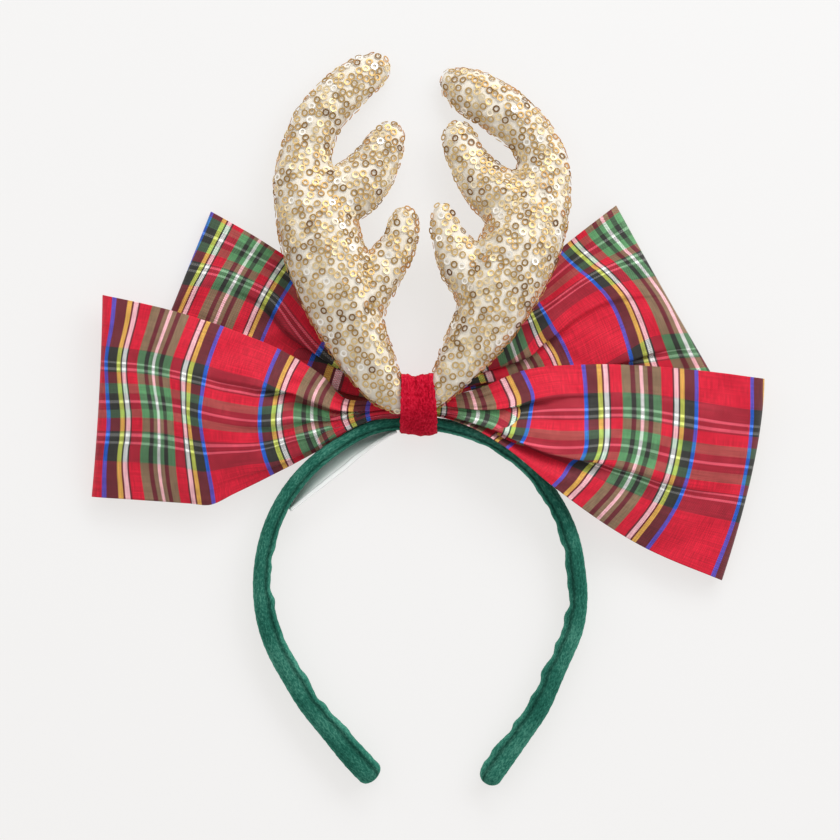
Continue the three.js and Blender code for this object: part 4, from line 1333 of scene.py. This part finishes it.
@dataclass
class Antler:
    """A stuffed antler of a beam and two tines, with its sequins."""

    side: str
    seed: int
    limbs: tuple[Limb, ...]
    voxel: float = 1.7
    pressure: float = 4.0
    stiffness: float = 12.0
    frames: int = 20
    cap: float = 1.8
    floor: float = 0.6
    pucker_from: float = 6.0
    ring_outer: float = 1.46
    ring_inner: float = 0.86
    ring_cup: float = 0.05
    ring_wall: float = 0.14
    ring_sides: int = 10
    spacing: float = 2.58
    crowd: float = 3.0
    ring_low: float = 2.2
    lift: float = 0.42
    lift_spread: float = 0.35
    tilt: float = 0.12
    # Shares of rings given a painted coppery reflection on steep sides and a painted white glint on top.
    painted_reflection_share: float = 0.7
    painted_glint_share: float = 0.06
    painted_glint_up: float = 0.6
    steep_start: float = 1.2
    steep_rate: float = 1.5
    tucked: Triple = (-8.2, 7.2, 19.0)
    puckers: ClassVar[tuple[Row, ...]] = (
        (0.18, 0.11, 0.05, 0.4), (0.15, -0.06, 0.12, 2.2), (0.1, 0.17, 0.16, 4.1),
    )

    def skin(self) -> bpy.types.Object:
        """Join the limbs into one skin and let stuffing swell it.

        Returns:
            The skin, without its finish.
        """
        whole = self.limbs[0].tube()
        for limb in self.limbs[1:]:
            whole = whole.joined(limb.tube())
        rough = whole.to_object(f"antler_{self.side}_limbs")
        remesh = rough.modifiers.new("skin", "REMESH")
        remesh.mode = "VOXEL"
        remesh.voxel_size = self.voxel * MM
        mesh = bpy.data.meshes.new_from_object(finished(rough))
        bpy.data.objects.remove(rough)
        skin = place_object(f"antler_cloth_{self.side}", mesh)
        mesh.name = skin.name
        self.stuff(skin)
        self.press(skin)
        mesh.polygons.foreach_set("use_smooth", np.ones(len(mesh.polygons), bool))
        finer = skin.modifiers.new("finer", "SUBSURF")
        finer.levels = finer.render_levels = 1
        return skin

    def stuff(self, skin: bpy.types.Object) -> None:
        """Swell the skin as cloth under pressure, and cap how far each point has moved.

        Args:
            skin: The joined limbs.
        """
        start = points_of(skin.data)
        cloth = skin.modifiers.new("stuffing", "CLOTH")
        cloth.settings.use_pressure = True
        cloth.settings.uniform_pressure_force = self.pressure
        cloth.settings.effector_weights.gravity = 0.0
        cloth.settings.tension_stiffness = self.stiffness
        cloth.settings.compression_stiffness = self.stiffness
        cloth.point_cache.frame_end = self.frames
        scene = bpy.context.scene
        for number in range(1, self.frames + 1):
            scene.frame_set(number)
        swollen = points_of(finished(skin).data)
        skin.modifiers.remove(cloth)
        scene.frame_set(1)
        move = swollen - start
        far = np.linalg.norm(move, axis=1, keepdims=True)
        move *= np.minimum(1.0, self.cap * MM / np.maximum(far, 1e-9))
        set_points(skin.data, start + move)
        LOG.info("%s swelled by up to %.1f mm", skin.name, min(far.max() / MM, self.cap))

    def press(self, skin: bpy.types.Object) -> None:
        """Pucker the upper part of the skin a little and keep it off the floor.

        Args:
            skin: The stuffed skin.
        """
        points = points_of(skin.data)
        x, y, z = (points / MM).T
        pucker = ripples(x, y, self.puckers) * np.clip((z - self.pucker_from) / self.pucker_from, 0, 1)
        points[:, 2] = np.maximum(self.floor, z + pucker) * MM
        set_points(skin.data, points)
        skin.data.update()

    def places(self, skin: bpy.types.Object) -> tuple[Array, Array]:
        """Spread places over the skin, no two nearer than the spacing.

        Candidates fall on triangles in proportion to their areas. They are taken in turn, and each
        one taken drops those within the spacing.

        Args:
            skin: The antler's cloth.

        Returns:
            Places in millimetres, and the skin's normals there.
        """
        draw = np.random.default_rng(self.seed)
        mesh = finished(skin).to_mesh()
        mesh.calc_loop_triangles()
        corners = np.empty(len(mesh.loop_triangles) * 3, np.int32)
        mesh.loop_triangles.foreach_get("vertices", corners)
        corners = corners.reshape(-1, 3)
        points = points_of(mesh) / MM
        normals = np.empty(len(mesh.vertices) * 3, np.float32)
        mesh.vertices.foreach_get("normal", normals)
        normals = normals.reshape(-1, 3)
        a, b, c = (points[corners[:, i]] for i in range(3))
        areas = np.linalg.norm(np.cross(b - a, c - a), axis=1) / 2
        count = int(areas.sum() * self.crowd)
        chosen = draw.choice(len(areas), count, p=areas / areas.sum())
        s, t = draw.random(count), draw.random(count)
        s, t = np.where(s + t > 1, 1 - s, s), np.where(s + t > 1, 1 - t, t)
        weights = np.stack([1 - s - t, s, t], axis=1)[:, :, None]
        spots = (points[corners[chosen]] * weights).sum(axis=1)
        facing = (normals[corners[chosen]] * weights).sum(axis=1)
        tree = KDTree(count)
        for number, spot in enumerate(spots):
            tree.insert(spot, number)
        tree.balance()
        left, right, top = self.tucked
        free = (spots[:, 0] < left) | (spots[:, 0] > right) | (spots[:, 1] > top)
        free &= spots[:, 2] > self.ring_low
        kept = []
        for number in range(count):
            if free[number]:
                kept.append(number)
                free[[near[1] for near in tree.find_range(spots[number], self.spacing)]] = False
        return spots[kept], unit(facing[kept])

    def tones(self, facing: Array, draw: np.random.Generator) -> Array:
        """Draw each ring's tone: a gold by chance, a painted coppery reflection on steep sides, and a few
        painted white glints on top.

        Args:
            facing: The skin's normals at the rings.
            draw: Where chance comes from.

        Returns:
            One tone for each ring.
        """
        count, up = len(facing), facing[:, 2]
        tone = draw.random(count) * Gilt.plain_tones
        # Rings on steep sides get a painted coppery reflection, and a few facing up a painted white glint.
        steep = np.clip(self.steep_start - np.abs(up) * self.steep_rate, 0, 1)
        painted_reflection = draw.random(count) < self.painted_reflection_share * steep
        painted_reflection_tones = Gilt.painted_reflection_tone + (1 - Gilt.painted_reflection_tone) * draw.random(count)
        tone = np.where(painted_reflection, painted_reflection_tones, tone)
        painted_glint = (draw.random(count) < self.painted_glint_share) & (up > self.painted_glint_up)
        return np.where(painted_glint, Gilt.painted_glint_tone, tone)

    def sequins(self, skin: bpy.types.Object) -> bpy.types.Object:
        """Flat rings on the skin: each is a square section turned about its own tilted normal.

        Args:
            skin: The antler's cloth.

        Returns:
            All the rings as one piece.
        """
        spots, facing = self.places(skin)
        draw = np.random.default_rng(self.seed + 1)
        count = len(spots)
        normal = unit(facing + draw.normal(0.0, self.tilt, (count, 3)))
        first = unit(np.cross(normal, draw.normal(size=(count, 3))))
        second = np.cross(normal, first)
        angle = (2 * math.pi * np.arange(self.ring_sides) / self.ring_sides)[None, :, None]
        spokes = np.cos(angle) * first[:, None] + np.sin(angle) * second[:, None]
        radii = np.array([self.ring_outer, self.ring_outer, self.ring_inner, self.ring_inner])
        rises = np.array([-0.5, 0.5, 0.5, -0.5]) * self.ring_wall - np.array([0, 0, 1, 1]) * self.ring_cup
        height = self.lift + draw.uniform(0.0, self.lift_spread, count)
        base = spots + facing * height[:, None]
        points = (base[:, None, None] + spokes[:, :, None] * radii[:, None]
                  + normal[:, None, None] * rises[:, None])
        side = np.arange(self.ring_sides)[:, None]
        corner = np.arange(4)[None, :]
        after, turn = (side + 1) % self.ring_sides, (corner + 1) % 4
        loop = [side * 4 + corner, after * 4 + corner, after * 4 + turn, side * 4 + turn]
        ring = np.stack(np.broadcast_arrays(*loop), axis=-1).reshape(-1, 4)
        each = 4 * self.ring_sides
        quads = (ring[None] + np.arange(count)[:, None, None] * each).reshape(-1, 4)
        rings = Shape(points.reshape(-1, 3), quads).to_object(f"sequins_{self.side}", smooth=False)
        set_attribute(rings, "tone", np.repeat(self.tones(facing, draw), each))
        LOG.info("%s: %d rings", rings.name, count)
        return rings

    def build(self, ivory: bpy.types.Material, gilt: bpy.types.Material) -> None:
        """Make the skin and its sequins, and dress both.

        Args:
            ivory: Finish of the cloth.
            gilt: Finish of the rings.
        """
        skin = self.skin()
        dress(skin, ivory, f"antler_{self.side}")
        dress(self.sequins(skin), gilt, None)


def left_antler() -> Antler:
    """The antler on the left, as limbs that start inside each other.

    Returns:
        The antler.
    """
    beam = Limb((
        (-3.6, 4.2, 5.0, 18.3), (-12.2, 9.6, 8.0, 19.4), (-21.4, 24.0, 11.8, 19.6),
        (-28.0, 38.8, 14.6, 18.6), (-36.4, 61.2, 16.8, 17.3), (-41.6, 78.4, 16.4, 14.6),
        (-46.4, 96.8, 12.4, 10.8), (-45.2, 108.0, 10.8, 8.8), (-40.8, 119.6, 10.2, 7.6),
        (-33.6, 128.4, 9.8, 6.8), (-26.2, 135.6, 9.0, 6.0), (-19.0, 140.9, 6.9, 5.0),
        (-13.6, 144.4, 0.0, 4.6),
    ))
    middle = Limb((
        (-38.0, 85.2, 12.0, 13.4), (-26.4, 91.6, 12.0, 12.0), (-20.4, 97.6, 11.0, 10.8),
        (-15.9, 105.0, 9.2, 9.8), (-12.2, 112.6, 6.8, 9.0), (-10.0, 118.4, 0.0, 8.6),
    ))
    lower = Limb((
        (-25.2, 41.0, 11.6, 18.6), (-21.2, 50.4, 11.4, 17.8), (-13.8, 60.0, 9.6, 16.4),
        (-7.4, 70.4, 7.4, 15.0), (-5.4, 78.4, 6.2, 14.2), (-5.0, 84.4, 0.0, 13.8),
    ))
    return Antler("left", 11, (beam, middle, lower))


def right_antler() -> Antler:
    """The antler on the right, built like the left one.

    Returns:
        The antler.
    """
    beam = Limb((
        (2.6, 4.4, 5.0, 18.3), (9.8, 12.8, 7.2, 19.4), (18.0, 25.2, 10.9, 19.6), (25.2, 37.2, 13.6, 18.6),
        (33.2, 54.0, 16.4, 17.4), (40.8, 71.2, 16.8, 15.6), (46.8, 88.8, 14.0, 12.2),
        (49.3, 101.2, 10.9, 9.8), (45.2, 111.2, 10.0, 8.2), (37.4, 119.8, 10.5, 7.6),
        (28.4, 126.7, 10.5, 7.2), (19.4, 131.7, 9.5, 6.6), (13.8, 134.2, 7.4, 5.4), (8.6, 134.3, 0.0, 4.8),
    ))
    middle = Limb((
        (38.0, 84.0, 12.8, 13.4), (28.0, 91.6, 11.2, 12.0), (21.8, 98.8, 9.4, 10.8),
        (17.3, 106.5, 7.9, 9.8), (15.2, 113.0, 6.9, 9.0), (13.8, 118.8, 0.0, 8.6),
    ))
    lower = Limb((
        (25.6, 42.0, 11.8, 18.4), (23.2, 52.4, 11.8, 17.6), (16.6, 61.6, 10.6, 16.4),
        (11.2, 71.6, 7.6, 15.0), (8.7, 79.6, 5.6, 14.2), (8.1, 86.4, 0.0, 13.8),
    ))
    return Antler("right", 23, (beam, middle, lower))


# Wrap and label


@dataclass
class FeltWrap:
    """A strip of felt round the band, the bows and the antlers' feet."""

    left_x: float = -7.8
    right_x: float = 6.8
    narrow: float = 1.5
    wall: float = 1.1
    columns: int = 96
    corner_steps: int = 9
    edge_steps: int = 26
    stand_in: float = 0.2
    left_taper: float = 0.24
    rib_share: float = 0.35
    rib_growth: float = 0.9
    upper_z: ClassVar[Pair] = (11.0, 22.0)
    rib_z: ClassVar[Pair] = (3.0, 12.0)
    hem_z: ClassVar[Pair] = (0.0, 1.5)
    hem_y: ClassVar[Pair] = (-3.0, -7.0)
    taper_y: ClassVar[Pair] = (0.0, 18.0)
    pucker_y: ClassVar[Pair] = (4.0, 17.0)
    tuck_y: ClassVar[Pair] = (6.0, 13.0)
    dip_y: ClassVar[Pair] = (15.0, 17.6)
    left_corner: ClassVar[Pair] = (-8.0, -2.5)
    right_corner: ClassVar[Pair] = (3.0, 7.0)
    tuck: ClassVar[Triple] = (0.9, -2.1, 0.55)
    dip: ClassVar[Triple] = (1.0, -2.0, 3.4)
    corner_drops: ClassVar[Pair] = (1.2, 0.5)
    ragged_waves: ClassVar[tuple[Row, ...]] = ((0.16, 0.31, 0.27, 0.2), (0.1, 0.83, -0.6, 1.4))
    rib_waves: ClassVar[tuple[Row, ...]] = (
        (0.22, 1 / 4.9, 0.004, 1.2), (0.12, 1 / 2.7, -0.008, 0.3), (0.07, 1 / 1.22, 0.01, 0.7),
    )
    hem_waves: ClassVar[tuple[Row, ...]] = ((0.22, 0.09, 0, 0.6), (0.14, 0.21, 0, 2.0))
    section: tuple[Triple, ...] = (
        (-7.2, 0.0, 2.2), (18.0, 0.0, 2.2), (18.0, 24.6, 5.0), (2.6, 24.6, 5.0), (-7.2, 14.6, 4.0),
    )

    def outline(self) -> Array:
        """The section with round corners: a straight edge, then a parabola from edge to edge.

        Returns:
            Y and Z of points round the section.
        """
        corners = np.array(self.section)[:, :2]
        rounds = np.array(self.section)[:, 2:]
        before = np.roll(corners, 1, axis=0) - corners
        after = np.roll(corners, -1, axis=0) - corners
        starts = corners + unit(before) * rounds
        ends = corners + unit(after) * rounds
        t = np.linspace(0.0, 1.0, self.corner_steps)[None, :, None]
        curves = starts[:, None] * (1 - t) ** 2 + corners[:, None] * 2 * t * (1 - t) + ends[:, None] * t**2
        s = np.linspace(0.0, 1.0, self.edge_steps + 1)[None, 1:-1, None]
        edges = ends[:, None] * (1 - s) + np.roll(starts, -1, axis=0)[:, None] * s
        return np.concatenate([curves, edges], axis=1).reshape(-1, 2)

    def build(self) -> bpy.types.Object:
        """Make the sleeve, with soft ribs along the strip and ragged cut edges, and dress it.

        Returns:
            The dressed wrap.
        """
        outline = self.outline()
        y, z = outline[:, :1], outline[:, 1:]
        ahead = np.roll(outline, -1, axis=0) - np.roll(outline, 1, axis=0)
        out = unit(np.stack([ahead[:, 1], -ahead[:, 0]], axis=1))
        upper = smoothstep(*self.upper_z, z)
        taper = self.narrow * smoothstep(*self.taper_y, y) * upper
        ragged = ripples(y, z, self.ragged_waves)
        share = np.linspace(0.0, 1.0, self.columns + 1)[None, :]
        left, right = self.left_x + taper * self.left_taper + ragged, self.right_x - taper - ragged
        x = left * (1 - share) + right * share
        pucker = smoothstep(*self.pucker_y, y) * upper
        (tuck, tuck_x, tuck_wide), (dip, dip_x, dip_wide) = self.tuck, self.dip
        tuck = tuck * bell(x, tuck_x, tuck_wide) * smoothstep(*self.tuck_y, y)
        dip = dip * bell(x, dip_x, dip_wide) * smoothstep(*self.dip_y, y)
        left_drop, right_drop = self.corner_drops
        corner = left_drop * (1 - smoothstep(*self.left_corner, x))
        corner = corner + right_drop * smoothstep(*self.right_corner, x)
        ribs = ripples(x, y, self.rib_waves) * (self.rib_share + self.rib_growth * pucker) - tuck
        hem = ripples(x, 0.0, self.hem_waves) - corner
        shift = ribs * smoothstep(*self.rib_z, z) - self.stand_in - dip
        shift = shift + hem * smoothstep(*self.hem_y, y) * smoothstep(*self.hem_z, z)
        points = np.stack([x, y + out[:, :1] * shift, z + out[:, 1:] * shift], axis=-1)
        points[..., 2] = np.maximum(points[..., 2], 0.0)
        wrap = Shape.sheet(points.transpose(1, 0, 2), closed=True).to_object("felt_wrap")
        thicken(wrap, self.wall, -1.0)
        felt = Pile(
            "red_felt", dark=linear(150, 8, 32), mid=linear(196, 24, 50), pale=linear(222, 50, 74),
            sheen=0.18, grain=900.0, stretch=(1.5, 0.8, 1.0), rough=0.7, spread=0.15,
        )
        dress(wrap, felt.material(), "centre_wrap")
        return wrap


@dataclass
class InnerLabel:
    """A blank strip of white satin across the inner side of the band."""

    start: Pair = (-9.2, -5.8)
    first_bend: Pair = (-16.2, -8.0)
    second_bend: Pair = (-31.4, -22.6)
    end: Pair = (-51.8, -37.2)
    low_z: float = 1.8
    high_z: float = 10.6
    under: float = 0.3
    hem: float = 0.7
    wall: float = 0.5
    steps: int = 70
    columns: int = 21
    hem_ridge: ClassVar[Pair] = (0.86, 0.05)
    hem_groove: ClassVar[Pair] = (0.78, 0.03)
    waves: ClassVar[tuple[Row, ...]] = ((0.12, 2.3, 0.2, 0.4), (0.08, 5.1, 0.6, 1.1))

    def build(self, band: VelvetBand) -> bpy.types.Object:
        """Make the ribbon: a cubic curve along, leaning so that its low edge lies against the band.

        Args:
            band: The band that it is sewn to.

        Returns:
            The dressed ribbon.
        """
        t = np.linspace(0.0, 1.0, self.steps)[:, None]
        w = np.linspace(0.0, 1.0, self.columns)[None, :]
        a, b, c, e = (np.array(point) for point in (self.start, self.first_bend, self.second_bend, self.end))
        path = a * (1 - t) ** 3 + b * 3 * t * (1 - t) ** 2 + c * 3 * t**2 * (1 - t) + e * t**3
        along = unit((b - a) * (1 - t) ** 2 + (c - b) * 2 * t * (1 - t) + (e - c) * t**2)
        toward = np.stack([along[:, 1], -along[:, 0]], axis=1)
        out = path - np.array([0.0, band.centre_y])
        along_band = band.radius * np.arctan2(out[:, :1], out[:, 1:])
        gap = band.inner_radius(along_band) - np.linalg.norm(out, axis=1, keepdims=True)
        lean = (gap + self.under) * (1 - w)
        hem = self.hem * (bell(w, *self.hem_ridge) - bell(w, *self.hem_groove))
        shift = lean + hem + ripples(t, w, self.waves) * np.sin(math.pi * t)
        z = np.broadcast_to(self.low_z + (self.high_z - self.low_z) * w, shift.shape)
        flat = path[:, None] + toward[:, None] * shift[..., None]
        points = np.concatenate([flat, z[..., None]], axis=-1)
        label = Shape.sheet(points).to_object("satin_label")
        thicken(label, self.wall)
        dress(label, Satin().material(), "inner_label")
        return label


# Floor, lights and camera


@dataclass(frozen=True)
class Lamp:
    """A soft rectangle of light: where it is, its size in metres and its power in watts."""

    name: str
    place: Triple
    size: Pair
    power: float

    def build(self) -> None:
        """Add the lamp, facing the origin."""
        lamp = bpy.data.lights.new(self.name, "AREA")
        lamp.shape = "RECTANGLE"
        lamp.size, lamp.size_y = self.size
        lamp.energy = self.power
        obj = place_object(self.name, lamp)
        obj.location = self.place
        x, y, z = self.place
        obj.rotation_euler = (math.acos(z / math.hypot(x, y, z)), 0.0, math.atan2(y, x) + math.pi / 2)


@dataclass
class Studio:
    """A pale floor, three soft lights, an even sky and a camera straight above."""

    camera_height: float = 2.0
    sharp_height: float = 0.01
    picture_wide: float = 0.336
    centre_y: float = -0.0008
    sensor: float = 36.0
    clip: Pair = (0.05, 20.0)
    floor_wide: float = 6.0
    sky: tuple[Pair, ...] = ((0.0, 0.56), (0.4, 0.71), (0.72, 0.65), (0.92, 0.49), (1.0, 0.47))
    lamps: tuple[Lamp, ...] = (
        Lamp("light_left", (-1.0, 0.8, 0.9), (0.8, 0.8), 2.0),
        Lamp("light_right", (1.0, 0.7, 0.9), (0.8, 0.8), 7.6),
        Lamp("light_top", (0.3, 1.15, 0.8), (0.9, 0.5), 8.2),
    )

    def lay_floor(self) -> None:
        """Make the floor."""
        half = self.floor_wide / 2 / MM
        side = np.linspace(-half, half, 3)
        x, y = np.meshgrid(side, side, indexing="ij")
        floor = Shape.sheet(np.stack([x, y, np.zeros_like(x)], axis=-1)).to_object("floor")
        floor.data.materials.append(LightTable().material())

    def light_sky(self) -> None:
        """Make the sky: grey levels by height, from the horizon to straight above."""
        graph = Graph(bpy.data.worlds.new("studio"))
        way = graph.node("ShaderNodeTexCoord").outputs["Generated"]
        height = graph.value("ShaderNodeSeparateXYZ", inputs={0: way}, output=2)
        fade = graph.ramp(height, [(place, (level,) * 3) for place, level in self.sky])
        glow = graph.node("ShaderNodeBackground", inputs={0: fade.outputs[0]})
        graph.node("ShaderNodeOutputWorld", inputs={0: glow.outputs[0]})
        bpy.context.scene.world = graph.owner

    def build(self) -> None:
        """Make the floor, the lights, the sky and the camera."""
        self.lay_floor()
        for lamp in self.lamps:
            lamp.build()
        self.light_sky()
        camera = bpy.data.cameras.new("camera")
        camera.sensor_width = self.sensor
        camera.lens = self.sensor * (self.camera_height - self.sharp_height) / self.picture_wide
        camera.clip_start, camera.clip_end = self.clip
        eye = place_object("camera", camera)
        eye.location = (0.0, self.centre_y, self.camera_height)
        scene = bpy.context.scene
        scene.view_settings.view_transform = "Standard"
        scene.camera = eye


def main() -> None:
    """Build every piece in order."""
    logging.basicConfig(level=logging.INFO, format="%(message)s")
    Studio().build()
    band = VelvetBand()
    band.build()
    InnerLabel().build(band)
    cloth = Tartan().material()
    back_bow().build(cloth)
    front_bow().build(cloth)
    ivory, gilt = Ivory().material(), Gilt().material()
    left_antler().build(ivory, gilt)
    right_antler().build(ivory, gilt)
    FeltWrap().build()


if __name__ == "__main__":
    main()
